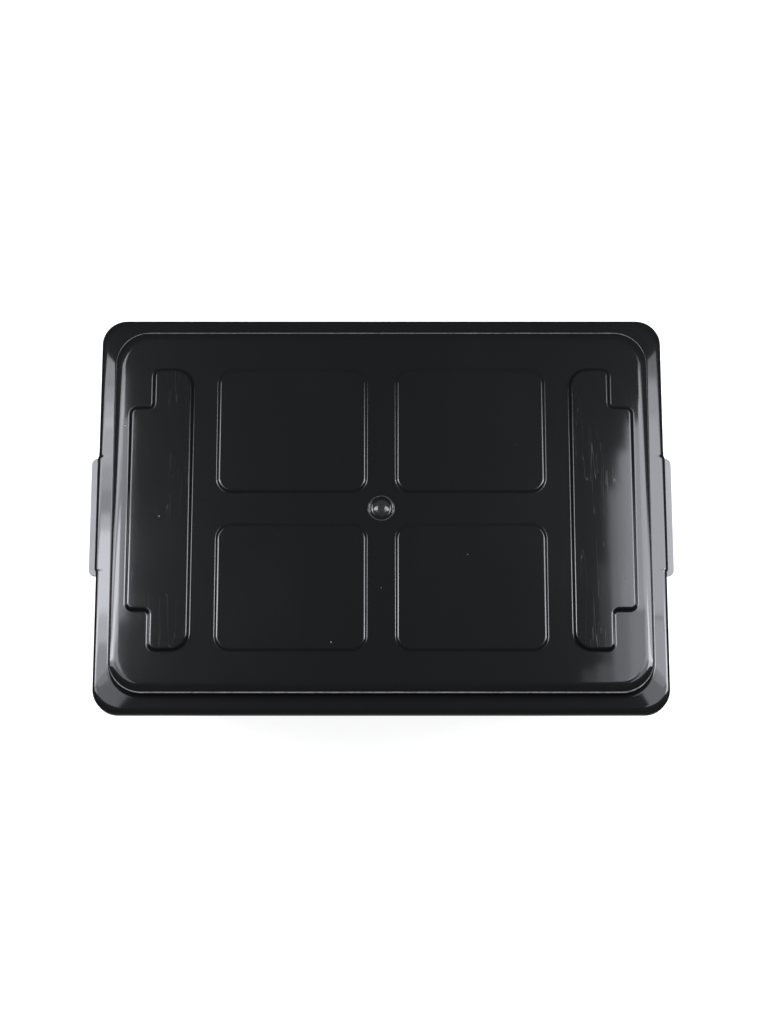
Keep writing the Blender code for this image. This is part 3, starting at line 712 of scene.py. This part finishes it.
def wall_half(z):
    """Half sizes of the tapered wall's outer face at a height."""
    share = z / MOUTH_Z
    return tuple(b + (m - b) * share for b, m in zip(BASE_HALF, MOUTH_HALF))


def wall_corner(z):
    return BASE_CORNER + (MOUTH_CORNER - BASE_CORNER) * z / MOUTH_Z


def wall_row(z, inset=0.0, cut=0.0):
    return row(wall_half(z), wall_corner(z), z, inset, cut)


def add_tote_shell(bm):
    """The tote's shell, from its footprint, round the rim, to the inside of its floor."""
    lip = (LIP_INNER, LIP_CORNER - LIP_WALL)
    band_slope = BAND_DEPTH / 6
    rows = [
        wall_row(0.0, 0.0040),
        wall_row(0.0, cut=0.0020),
        wall_row(BAND_Z, cut=0.0012),
        wall_row(BAND_Z + band_slope, -BAND_REACH, cut=0.0008),
        wall_row(BAND_Z + BAND_DEPTH, -BAND_REACH, cut=0.0008),
        wall_row(BAND_Z + BAND_DEPTH + band_slope, cut=0.0010),
        wall_row(RIM_UNDER_Z, cut=0.0010),
        row(*lip, RIM_UNDER_Z, cut=0.0006),
        row(*lip, LIP_Z, cut=0.0005),
        row(LIP_HALF, LIP_CORNER, LIP_Z, cut=0.0008),
        row(LIP_HALF, LIP_CORNER, MOUTH_Z, cut=0.0012),
        wall_row(MOUTH_Z, TOTE_WALL, cut=0.0014),
        wall_row(FLOOR_Z, TOTE_WALL, cut=0.0060),
        wall_row(FLOOR_Z, 4 * TOTE_WALL),
    ]
    levels = []
    for ring in rounded_path(rows, 5):
        outline = rectangle((ring.x, ring.y), ring.z, steps=12)()
        levels.append(at_height(outline, ring.w))
    loft(bm, levels)


def rear_trim(bm):
    half = (LIP_HALF[0] + CLEAR, CLEAR)
    outline = rectangle(half, 0.0, (0.0, REAR_TRIM_Y + CLEAR))
    add_pad(bm, outline, LIP_Z - CLEAR, MOUTH_Z + CLEAR, (0, 0))


def add_rib(bm, axis, outer, side, station):
    """A rib from the band up to the rim, rounded along its outer edge."""
    bottom_z = BAND_Z + BAND_DEPTH / 2
    levels = [
        (bottom_z, wall_half(bottom_z)[axis] + BAND_REACH - 0.0006),
        (LIP_Z + 0.0020, outer),
        (RIM_UNDER_Z + RIM_OVERLAP, outer),
    ]
    loops = []
    for z, reach in levels:
        root = wall_half(z)[axis] - EMBED
        half = ((reach - root) / 2, RIB_WALL / 2)
        outline = rectangle(half, RIB_ROUND, ((reach + root) / 2, 0.0), 3)()
        angle = (math.pi / 2 if axis else 0.0) + (math.pi if side < 0 else 0.0)
        turn = Matrix.Rotation(angle, 3, "Z")
        shift = Vector((station, 0.0, 0.0)) if axis else Vector((0.0, station, 0.0))
        loops.append([turn @ point + shift for point in at_height(outline, z)])
    loft(bm, loops)


def rim_ribs(bm):
    long_reach = {-1: LIP_INNER[1] + RIM_OVERLAP, 1: REAR_TRIM_Y - 0.0004}
    for side in (-1, 1):
        for station in RIB_STATIONS_X:
            for x in (-station, station):
                add_rib(bm, 1, long_reach[side], side, x)
        for station in RIB_STATIONS_Y:
            for y in (-station, station):
                add_rib(bm, 0, LIP_INNER[0] + RIM_OVERLAP, side, y)


def wall_place(axis, side, z):
    """A frame on an end or long wall: local Z points out of the sloping wall, local Y up."""
    reach = wall_half(z)[axis]
    slope = math.atan((MOUTH_HALF[axis] - BASE_HALF[axis]) / MOUTH_Z)
    spot = (0.0, side * reach, z) if axis else (side * reach, 0.0, z)
    turn = (0.0 if side < 0 else math.pi) if axis else side * math.pi / 2
    lean = Matrix.Rotation(math.pi / 2 + slope, 4, "X")
    return Matrix.Translation(spot) @ Matrix.Rotation(turn, 4, "Z") @ lean


def grip_cups(bm):
    """The bulges inside the tote that hold the finger hollows."""
    cup_half = tuple(half + TOTE_WALL for half in GRIP_HALF)
    outline = rectangle(cup_half, GRIP_CORNER + TOTE_WALL)
    back = -GRIP_DEPTH - TOTE_WALL
    for side in (-1, 1):
        place = wall_place(0, side, GRIP_Z)
        add_placed(bm, add_pad, place, outline, back, -TOTE_WALL / 2, (0.0050, 0))


def add_grip_hollow(bm):
    """The finger hollow: a rounded pocket whose mouth flares out to the wall."""
    outline = rectangle(GRIP_HALF, GRIP_CORNER)
    levels = []
    for inward, up in quarter_round(GRIP_FLOOR_ROUND, 5):
        levels.append(at_height(outline(-inward), up - GRIP_DEPTH))
    for down, outward in quarter_round(GRIP_FLARE, 6):
        levels.append(at_height(outline(outward), -down))
    levels.append(at_height(outline(GRIP_FLARE), CLEAR))
    loft(bm, levels)


def grip_hollows(bm):
    for side in (-1, 1):
        add_placed(bm, add_grip_hollow, wall_place(0, side, GRIP_Z))


def latch_seats(bm):
    """Solid seats that fill the rim's channel where the latches sit."""
    near = wall_half(LIP_Z)[0] - EMBED
    far = LIP_HALF[0] - LIP_WALL / 2
    half = ((far - near) / 2, RECESS_HALF + 2 * EMBED)
    for side in (-1, 1):
        outline = rectangle(half, 0.0010, (side * (near + far) / 2, 0.0), 3)
        add_pad(bm, outline, LIP_Z + 0.0004, RIM_UNDER_Z + RIM_OVERLAP, (0.0004, 0))


def latch_recesses(bm):
    """Pockets in the rim's outer face, open below, that take the latches."""
    low, high = LIP_Z - CLEAR, MOUTH_Z + CLEAR
    outline = rectangle((RECESS_HALF, (high - low) / 2), 0.0, (0.0, (low + high) / 2))
    for side in (-1, 1):
        near, far = sorted((side * RECESS_X, side * (LIP_HALF[0] + CLEAR)))
        add_placed(bm, add_pad, along_x(), outline, near, far, (0, 0))


def latch_catches(bm):
    """The bars that the latch hooks go under."""
    foot, nose, heel = (LIP_Z + rise for rise in CATCH_RISE)
    root = RECESS_X - EMBED
    points = [(root, foot), (CATCH_X, foot), (CATCH_X, nose), (root, heel)]
    for side in (-1, 1):
        section = points if side > 0 else mirrored(points)
        radii = [0, 0.0004, 0.0006, 0] if side > 0 else [0, 0.0006, 0.0004, 0]
        bar = shape(section, radii, 3)
        add_placed(bm, add_pad, along_y(), bar, -CATCH_HALF, CATCH_HALF, (0.0004, 0.0004))


def knuckle_arms(bm):
    """Arms that carry the hinge barrels on the back of the tote."""
    y, z = HINGE.y, HINGE.z
    root = wall_half(z)[1] - EMBED
    trim = REAR_TRIM_Y - 0.0004
    points = [
        (root, z - 0.0032), (y - 0.0026, z - 0.0032), (y - 0.0026, z + 0.0032),
        (trim, z + 0.0052), (trim, MOUTH_Z - 0.0010), (root, MOUTH_Z - 0.0010),
    ]
    arm = shape(points, [0, 0, 0, 0.0010, 0, 0], 3)
    for station in HINGE_STATIONS.values():
        for side in (-1, 1):
            near, far = sorted(station + side * reach for reach in TOTE_KNUCKLE)
            add_placed(bm, add_pad, along_x(), arm, near, far)


def knuckle_barrels(bm):
    for station in HINGE_STATIONS.values():
        for side in (-1, 1):
            near, far = sorted(side * reach for reach in TOTE_KNUCKLE)
            add_knuckle(bm, station, near, far)


def foot_recess(bm):
    """The hollow under the base that drops over another lid's islands."""
    inner_x, inner_y = FOOT_INNER
    far_x = BASE_HALF[0] + CLEAR
    gate = FOOT_GATE_Y
    points = [
        (-inner_x, -inner_y), (inner_x, -inner_y), (inner_x, -gate), (far_x, -gate),
        (far_x, gate), (inner_x, gate), (inner_x, inner_y), (-inner_x, inner_y),
        (-inner_x, gate), (-far_x, gate), (-far_x, -gate), (-inner_x, -gate),
    ]
    outline = shape(points, [FOOT_CORNER] * len(points), 6)
    section = [
        (FOOT_CHAMFER, -CLEAR), (FOOT_CHAMFER, 0.0),
        (0.0, FOOT_CHAMFER), (0.0, FOOT_HEIGHT - FOOT_CHAMFER),
        (-0.0003, FOOT_HEIGHT - 0.0003), (-FOOT_CHAMFER, FOOT_HEIGHT),
    ]
    loft(bm, [at_height(outline(offset), z) for offset, z in section])


def label_recess(bm):
    """A shallow panel for a label, sunk square into the sloping front wall."""
    outline = rectangle(LABEL_HALF, LABEL_CORNER)
    place = wall_place(1, -1, LABEL_Z)
    add_placed(bm, add_pad, place, outline, -LABEL_DEPTH, CLEAR, (0.0003, 0))


def make_tote(material):
    steps = [
        ("BASE", add_tote_shell),
        ("DIFFERENCE", rear_trim),
        ("UNION", rim_ribs),
        ("UNION", grip_cups),
        ("DIFFERENCE", grip_hollows),
        ("UNION", latch_seats),
        ("DIFFERENCE", latch_recesses),
        ("UNION", latch_catches),
        ("UNION", knuckle_arms),
        ("UNION", knuckle_barrels),
        ("DIFFERENCE", foot_recess),
        ("DIFFERENCE", label_recess),
    ]
    tote = build_solid("tote_shell", steps)
    return finish_piece(
        tote, material, "tote", "tote_body", sharp=40.0, weighted=True
    )


# Latches and pins -----------------------------------------------------------------------


def latch_barrel(bm):
    """The barrel that the latch turns on, about its pin."""
    half = LATCH_BARREL_HALF
    add_placed(bm, add_tube, along_y(), LATCH_BARREL, LATCH_PIN_RADIUS + PIN_GAP, -half, half)


def latch_plate(bm):
    """The latch's plate: narrow at the pin, wide below, with rounded rims."""
    neck = LATCH_BARREL_HALF - 0.0008
    top = -LATCH_BARREL + 0.0012
    points = [
        (-LATCH_HALF, -LATCH_DROP), (LATCH_HALF, -LATCH_DROP), (LATCH_HALF, -LATCH_SHOULDER),
        (neck, -LATCH_SHOULDER), (neck, top), (-neck, top),
        (-neck, -LATCH_SHOULDER), (-LATCH_HALF, -LATCH_SHOULDER),
    ]
    outline = shape(points, [0.0030, 0.0030, 0.0015, 0.0008, 0, 0, 0.0008, 0.0015], 6)
    add_placed(bm, add_pad, along_x(), outline, -LATCH_WALL / 2, LATCH_WALL / 2, (0.0005, 0.0008))


def latch_hook(bm):
    """The hook's nose, which goes under the catch when the latch is pushed in."""
    top_z = LIP_Z - 0.0002 - LATCH_PIVOT.z
    points = [
        (-0.0012, top_z - 0.0024), (0.0, top_z - 0.0024), (0.0, top_z),
        (-0.0038, top_z), (-0.0030, top_z - 0.0014),
    ]
    outline = shape(points, [0, 0, 0, 0.0004, 0.0004], 3)
    half = CATCH_HALF - 0.0030
    add_placed(bm, add_pad, along_y(), outline, -half, half, (0.0004, 0.0004))


def latch_lip(bm):
    """The finger lip: a thin tongue that is level when the latch hangs at rest."""
    top_z = LIP_TOP_Z - LATCH_PIVOT.z
    root = -top_z * math.tan(LATCH_AJAR)
    reach = LATCH_LIP_X - LATCH_PIVOT.x
    half = LATCH_HALF - 0.0004
    points = [(root, -half), (reach, -half), (reach, half), (root, half)]
    outline = shape(points, [0.0012, LIP_CORNER_RADIUS, LIP_CORNER_RADIUS, 0.0012], 8)
    level = Matrix.Rotation(LATCH_AJAR, 4, "Y")
    add_placed(bm, add_pad, level, outline, top_z - LATCH_WALL, top_z, (0.0008, 0.0008))


def make_latch(name, side, material):
    steps = [
        ("BASE", latch_barrel),
        ("UNION", latch_plate),
        ("UNION", latch_hook),
        ("UNION", latch_lip),
    ]
    latch = build_solid(name + "_moulding", steps)
    turn = Matrix.Identity(4) if side > 0 else Matrix.Rotation(math.pi, 4, "Z")
    place = Matrix.Translation((side * LATCH_PIVOT.x, 0.0, LATCH_PIVOT.z))
    latch.data.transform(place @ turn @ Matrix.Rotation(-LATCH_AJAR, 4, "Y"))
    return finish_piece(latch, material, name, name, weighted=True)


def make_pin(name, radius, material, body):
    """A pin with a domed head and a chamfered tip, fitted to its CAD node."""
    low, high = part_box(name)
    size = high - low
    axis = 0 if size.x > size.y else 1
    end = high[axis]
    middle = [(low[i] + high[i]) / 2 for i in range(3)]
    head_radius = size.z / 2
    head_z = end - PIN_HEAD_HEIGHT
    start = low[axis]
    profile = [
        (radius - PIN_CHAMFER, start), (radius, start + PIN_CHAMFER), (radius, head_z),
        (head_radius - PIN_HEAD_EDGE, head_z), (head_radius, head_z + PIN_HEAD_EDGE),
    ]
    crown_in, crown_down = PIN_CROWN
    for step in range(6):
        angle = math.pi / 2 * step / 6
        reach = head_radius - crown_in * (1 - math.cos(angle))
        profile.append((reach, end - crown_down + crown_down * math.sin(angle)))
    bm = bmesh.new()
    loft(bm, turned_levels(profile, PIN_STEPS))
    turn = along_x() if axis == 0 else Matrix(((1, 0, 0), (0, 0, 1), (0, -1, 0))).to_4x4()
    middle[axis] = 0.0
    bmesh.ops.transform(bm, matrix=Matrix.Translation(middle) @ turn, verts=bm.verts)
    pin = make_object(name + "_steel", bm)
    return finish_piece(pin, material, body, name, sharp=30.0)


# Materials ------------------------------------------------------------------------------

LID_BLACK = (0.0050, 0.0052, 0.0058)
LID_HAZED = (0.009, 0.009, 0.010)
LID_SCRATCHED = (0.030, 0.030, 0.033)
# The next grey is painted along the tier edge as a highlight, and on the ring's ridge as wear and
# highlight.
LID_PALE_EDGE = (0.34, 0.34, 0.345)
DUST = (0.35, 0.35, 0.34)
TOTE_GREY = (0.38, 0.39, 0.39)
LATCH_GREY = (0.33, 0.34, 0.34)
STEEL = (0.55, 0.56, 0.57)
STEEL_DULL = (0.50, 0.51, 0.52)
STEEL_BRIGHT = (0.60, 0.60, 0.60)
ISLAND_TOPS = (PLATEAU_Z + 0.0035, PLATEAU_Z + 0.0044)  # where the dense scratches begin
SCRATCH_WIDTH = 0.007
SCRATCHES_OFF_ISLANDS = 0.06
MARK_WIDTH = 0.004
GLOSS_ROUGHNESS = (0.045, 0.085)  # where clear, where hazy
SATIN_ROUGHNESS = (0.37, 0.47)
STEEL_ROUGHNESS = (0.24, 0.38)
MIX_A, MIX_B, MIX_RESULT = 6, 7, 2  # a Mix node's colour sockets


class Shader:
    """A small helper that adds nodes to one material and links them."""

    def __init__(self, name, colour, roughness, metallic=0.0):
        self.material = bpy.data.materials.new(name)
        self.material.use_nodes = True
        self.tree = self.material.node_tree
        self.surface = self.tree.nodes["Principled BSDF"]
        self.surface.inputs["Base Color"].default_value = (*colour, 1.0)
        self.surface.inputs["Roughness"].default_value = roughness
        self.surface.inputs["Metallic"].default_value = metallic

    def node(self, kind, settings=None, **inputs):
        made = self.tree.nodes.new("ShaderNode" + kind)
        for key, value in (settings or {}).items():
            setattr(made, key, value)
        for key, value in inputs.items():
            self.feed(made.inputs[key.replace("_", " ")], value)
        return made

    def feed(self, socket, value):
        if isinstance(value, bpy.types.NodeSocket):
            self.tree.links.new(value, socket)
        else:
            socket.default_value = value

    def position(self, scale=(1.0, 1.0, 1.0), turn=0.0):
        place = self.node("TexCoord").outputs["Object"]
        mapping = self.node("Mapping", None, Vector=place, Scale=scale, Rotation=(0.0, 0.0, turn))
        return mapping.outputs["Vector"]

    def noise(self, scale, detail=2.0, vector=None, distortion=0.0):
        vector = vector or self.position()
        inputs = {"Scale": scale, "Detail": detail, "Vector": vector, "Distortion": distortion}
        return self.node("TexNoise", None, **inputs).outputs["Fac"]

    def remap(self, value, low, high, to_low=0.0, to_high=1.0):
        limits = {"From_Min": low, "From_Max": high, "To_Min": to_low, "To_Max": to_high}
        made = self.node("MapRange", {"clamp": True}, Value=value, **limits)
        return made.outputs["Result"]

    def thread(self, pattern, width):
        """Thin lines where a noise pattern passes its middle value."""
        off_line = self.math("ABSOLUTE", self.math("SUBTRACT", pattern, 0.5))
        return self.remap(off_line, width, 0.0)

    def math(self, operation, first, second=0.0):
        made = self.node("Math", {"operation": operation})
        self.feed(made.inputs[0], first)
        self.feed(made.inputs[1], second)
        return made.outputs["Value"]

    def mix(self, factor, first, second):
        """Blend two colours, each an output socket or three channels."""
        made = self.node("Mix", {"data_type": "RGBA"})
        self.feed(made.inputs["Factor"], factor)
        for index, colour in ((MIX_A, first), (MIX_B, second)):
            self.feed(made.inputs[index], (*colour, 1.0) if isinstance(colour, tuple) else colour)
        return made.outputs[MIX_RESULT]

    def bump(self, height, strength, depth):
        made = self.node("Bump", None, Height=height, Strength=strength, Distance=depth)
        self.feed(self.surface.inputs["Normal"], made.outputs["Normal"])


def lid_material():
    """Glossy black polypropylene: faint scratches, dust, a painted highlight along the tier edge,
    and a pale ring ridge that is partly wear and partly painted highlight.
    """
    shader = Shader("lid_gloss_black", LID_BLACK, 0.16)
    shader.surface.inputs["IOR"].default_value = 1.49
    shader.surface.inputs["Coat Weight"].default_value = 0.09
    shader.surface.inputs["Coat Roughness"].default_value = 0.30
    height = shader.node("SeparateXYZ", None, Vector=shader.position()).outputs["Z"]
    raised = shader.remap(height, *ISLAND_TOPS)
    wavy = shader.noise(1.0, 2.0, shader.position((150.0, 5.0, 20.0), 0.06), 0.5)
    lines = shader.thread(wavy, SCRATCH_WIDTH)
    patches = shader.remap(shader.noise(17.0, 2.0), 0.44, 0.58)
    share = shader.remap(raised, 0, 1, SCRATCHES_OFF_ISLANDS, 1.0)
    scratches = shader.math("MULTIPLY", lines, shader.math("MULTIPLY", patches, share))
    haze = shader.remap(shader.noise(9.0, 4.0, shader.position((1.0, 0.6, 1.0))), 0.48, 0.75)
    cells = shader.node("TexVoronoi", None, Vector=shader.position((1.0, 1.0, 0.0)), Scale=85.0)
    speck = shader.remap(cells.outputs["Distance"], 0.060, 0.040)
    chosen = shader.node("SeparateColor", None, Color=cells.outputs["Color"]).outputs["Red"]
    dust = shader.math("MULTIPLY", speck, shader.remap(chosen, 0.975, 0.980))
    # Pale grey painted along the tier edge as a highlight and on the ring's ridge as wear and
    # highlight, broken up by grain; it also raises the roughness there.
    pale_edges = shader.node("Attribute", {"attribute_name": "wear_and_painted_highlight"}).outputs["Fac"]
    grain = shader.remap(shader.noise(260.0, 3.0), 0.30, 0.60, 0.55, 1.0)
    wear_and_highlight = shader.math("MULTIPLY", pale_edges, grain)
    colour = shader.mix(shader.math("MULTIPLY", haze, 0.35), LID_BLACK, LID_HAZED)
    colour = shader.mix(shader.math("MULTIPLY", scratches, 0.5), colour, LID_SCRATCHED)
    colour = shader.mix(wear_and_highlight, colour, LID_PALE_EDGE)
    colour = shader.mix(shader.math("MULTIPLY", dust, 0.7), colour, DUST)
    shader.feed(shader.surface.inputs["Base Color"], colour)
    rough = shader.remap(haze, 0, 1, *GLOSS_ROUGHNESS)
    rough = shader.math("ADD", rough, shader.math("MULTIPLY", scratches, 0.12))
    rough = shader.math("ADD", rough, shader.math("MULTIPLY", wear_and_highlight, 0.35))
    shader.feed(shader.surface.inputs["Roughness"], rough)
    sink = shader.noise(14.0, 1.0, shader.position((1.0, 0.45, 1.0)))
    shader.bump(sink, 0.25, 0.0006)
    return shader.material


def plastic_material(name, colour):
    """Satin moulded polypropylene with a fine grain and light handling marks."""
    shader = Shader(name, colour, 0.42)
    cloudy = shader.remap(shader.noise(6.0, 3.0), 0.30, 0.70)
    light = tuple(channel * 1.06 for channel in colour)
    dark = tuple(channel * 0.93 for channel in colour)
    tone = shader.mix(cloudy, dark, light)
    streaks = shader.noise(1.0, 3.0, shader.position((35.0, 35.0, 260.0), 0.3), 0.4)
    marks = shader.thread(streaks, MARK_WIDTH)
    marks = shader.math("MULTIPLY", marks, shader.remap(shader.noise(11.0, 2.0), 0.55, 0.70))
    pale = tuple(min(channel * 1.35, 1.0) for channel in colour)
    tone = shader.mix(shader.math("MULTIPLY", marks, 0.6), tone, pale)
    shader.feed(shader.surface.inputs["Base Color"], tone)
    rough = shader.remap(shader.noise(40.0, 3.0), 0.3, 0.7, *SATIN_ROUGHNESS)
    shader.feed(shader.surface.inputs["Roughness"], rough)
    shader.bump(shader.noise(1500.0, 2.0), 0.25, 0.0001)
    return shader.material


def steel_material():
    """Drawn steel wire: fine scratches along and around the pin."""
    shader = Shader("pin_drawn_steel", STEEL, 0.3, 1.0)
    fine = shader.noise(1.0, 3.0, shader.position((2500.0, 2500.0, 2500.0)))
    rough = shader.remap(fine, 0.3, 0.7, *STEEL_ROUGHNESS)
    shader.feed(shader.surface.inputs["Roughness"], rough)
    tone = shader.mix(shader.remap(shader.noise(300.0), 0.4, 0.7), STEEL_DULL, STEEL_BRIGHT)
    shader.feed(shader.surface.inputs["Base Color"], tone)
    shader.bump(fine, 0.15, 0.00005)
    return shader.material


# Set ------------------------------------------------------------------------------------

CAMERA_TILT = math.radians(13.0)
CAMERA_DISTANCE = 2.102
CAMERA_LENS = 77.3
CAMERA_SENSOR = 36.0
CAMERA_SIDE = 0.0026  # how far its target lies beside and above the lid's middle
CAMERA_UP = -0.0036
GROUND_RADIUS = 6.0
GROUND_Z = -0.0005
GROUND_GREY = (0.55, 0.55, 0.55)
GROUND_GLOW = 0.80  # keeps the floor white where the object shades it
WORLD_LIGHT = 0.25  # what the surroundings shed on everything
WORLD_MIRRORED = 0.085  # and how bright they look in the glossy lid
SOFTBOX_COLOUR = (0.91, 0.93, 1.0)
SOFTBOX_HEIGHT = 1.50  # over the plateau; each next one hangs a step lower
SOFTBOX_STEP = 0.005
SOFTBOXES = (
    # side, extents along X and Y, radiance
    (-1, (0.470, 2.850), (-0.25, 0.01), 2.4),
    (-1, (0.450, 2.850), (0.01, 0.06), 4.4),
    (-1, (0.440, 2.850), (0.06, 0.16), 6.1),
    (-1, (0.418, 2.850), (0.16, 0.50), 5.4),
    (-1, (0.436, 2.850), (0.50, 0.58), 7.6),
    (-1, (0.446, 2.850), (0.58, 0.63), 6.4),
    (-1, (1.100, 2.850), (-0.25, 0.24), 2.6),
    (-1, (0.460, 2.850), (0.13, 0.35), 4.6),
    (-1, (0.460, 2.850), (0.18, 0.32), 5.0),
    (-1, (0.460, 2.850), (0.39, 0.54), 1.9),
    (-1, (0.460, 2.850), (0.43, 0.51), 1.9),
    (1, (0.325, 0.345), (0.00, 0.07), 0.7),
    (1, (0.345, 0.368), (0.00, 0.08), 1.5),
    (1, (0.352, 0.368), (0.08, 0.24), 0.7),
    (1, (0.368, 0.396), (0.02, 0.16), 2.8),
    (1, (0.396, 0.426), (0.02, 0.16), 4.4),
    (1, (0.368, 0.384), (0.16, 0.36), 3.2),
    (1, (0.384, 0.402), (0.16, 0.42), 5.2),
    (1, (0.402, 0.426), (0.16, 0.47), 7.4),
    (1, (0.426, 2.850), (0.04, 0.16), 5.2),
    (1, (0.470, 2.850), (0.06, 0.16), 2.4),
    (1, (0.450, 2.850), (0.00, 0.04), 4.8),
    (1, (0.480, 2.850), (-0.25, 0.00), 3.0),
    (1, (0.426, 2.850), (0.16, 0.50), 8.8),
    (1, (0.450, 2.850), (0.50, 0.56), 7.2),
    (1, (0.470, 2.850), (0.56, 0.61), 3.2),
    (1, (1.100, 2.850), (-0.25, 0.24), 9.0),
)


def make_camera():
    data = bpy.data.cameras.new("camera")
    data.lens = CAMERA_LENS
    data.sensor_width = CAMERA_SENSOR
    data.clip_start = 0.01
    data.clip_end = 100.0
    camera = add_object("camera", data)
    up = Vector((0.0, math.cos(CAMERA_TILT), math.sin(CAMERA_TILT)))
    back = Vector((0.0, -math.sin(CAMERA_TILT), math.cos(CAMERA_TILT)))
    target = Vector((CAMERA_SIDE, 0.0, PLATEAU_Z)) + up * CAMERA_UP
    camera.location = target + back * CAMERA_DISTANCE
    camera.rotation_euler = (CAMERA_TILT, 0.0, 0.0)
    bpy.context.scene.camera = camera


def make_floor():
    bm = bmesh.new()
    bmesh.ops.create_circle(bm, cap_ends=True, segments=64, radius=GROUND_RADIUS)
    mesh = bpy.data.meshes.new("floor")
    bm.to_mesh(mesh)
    bm.free()
    floor = add_object("floor", mesh)
    floor.location.z = GROUND_Z
    paper = Shader("floor_white", GROUND_GREY, 0.9)
    paper.surface.inputs["Emission Color"].default_value = (1.0, 1.0, 1.0, 1.0)
    paper.surface.inputs["Emission Strength"].default_value = GROUND_GLOW
    mesh.materials.append(paper.material)
    floor.visible_glossy = False


def add_softbox(name, x_range, y_range, height, radiance):
    """A level rectangular light at a height over the lid, facing straight down."""
    data = bpy.data.lights.new(name, "AREA")
    data.shape = "RECTANGLE"
    data.size = x_range[1] - x_range[0]
    data.size_y = y_range[1] - y_range[0]
    data.energy = radiance * math.pi * data.size * data.size_y
    data.color = SOFTBOX_COLOUR
    light = add_object(name, data)
    light.location = (sum(x_range) / 2, sum(y_range) / 2, PLATEAU_Z + height)


def make_lights():
    world = bpy.data.worlds.new("studio")
    world.use_nodes = True
    tree = world.node_tree
    background = tree.nodes["Background"]
    background.inputs["Color"].default_value = (1.0, 1.0, 1.0, 1.0)
    path = tree.nodes.new("ShaderNodeLightPath")
    strength = tree.nodes.new("ShaderNodeMapRange")
    strength.inputs["To Min"].default_value = WORLD_LIGHT
    strength.inputs["To Max"].default_value = WORLD_MIRRORED
    tree.links.new(path.outputs["Is Glossy Ray"], strength.inputs["Value"])
    tree.links.new(strength.outputs["Result"], background.inputs["Strength"])
    bpy.context.scene.world = world
    for index, (side, reach, y_range, radiance) in enumerate(SOFTBOXES):
        x_range = sorted(side * x for x in reach)
        height = SOFTBOX_HEIGHT - SOFTBOX_STEP * index
        add_softbox("softbox_" + str(index), x_range, y_range, height, radiance)


def main():
    bpy.context.scene.view_settings.view_transform = "Standard"
    make_camera()
    make_floor()
    make_lights()
    lid_plastic = lid_material()
    tote_plastic = plastic_material("tote_satin_grey", TOTE_GREY)
    latch_plastic = plastic_material("latch_satin_grey", LATCH_GREY)
    steel = steel_material()
    make_lid(lid_plastic)
    make_tote(tote_plastic)
    for side_name, station in HINGE_STATIONS.items():
        make_lid_knuckle("lid_knuckle_" + side_name, station, lid_plastic)
        make_pin("hinge_pin_" + side_name, HINGE_PIN_RADIUS, steel, "tote")
    for side_name, side in (("left", -1), ("right", 1)):
        make_latch("latch_" + side_name, side, latch_plastic)
        make_pin("latch_pin_" + side_name, LATCH_PIN_RADIUS, steel, "lid")
        for end_name, end in (("front", -1), ("rear", 1)):
            make_ear("latch_ear_" + side_name + "_" + end_name, side, end, lid_plastic)


main()
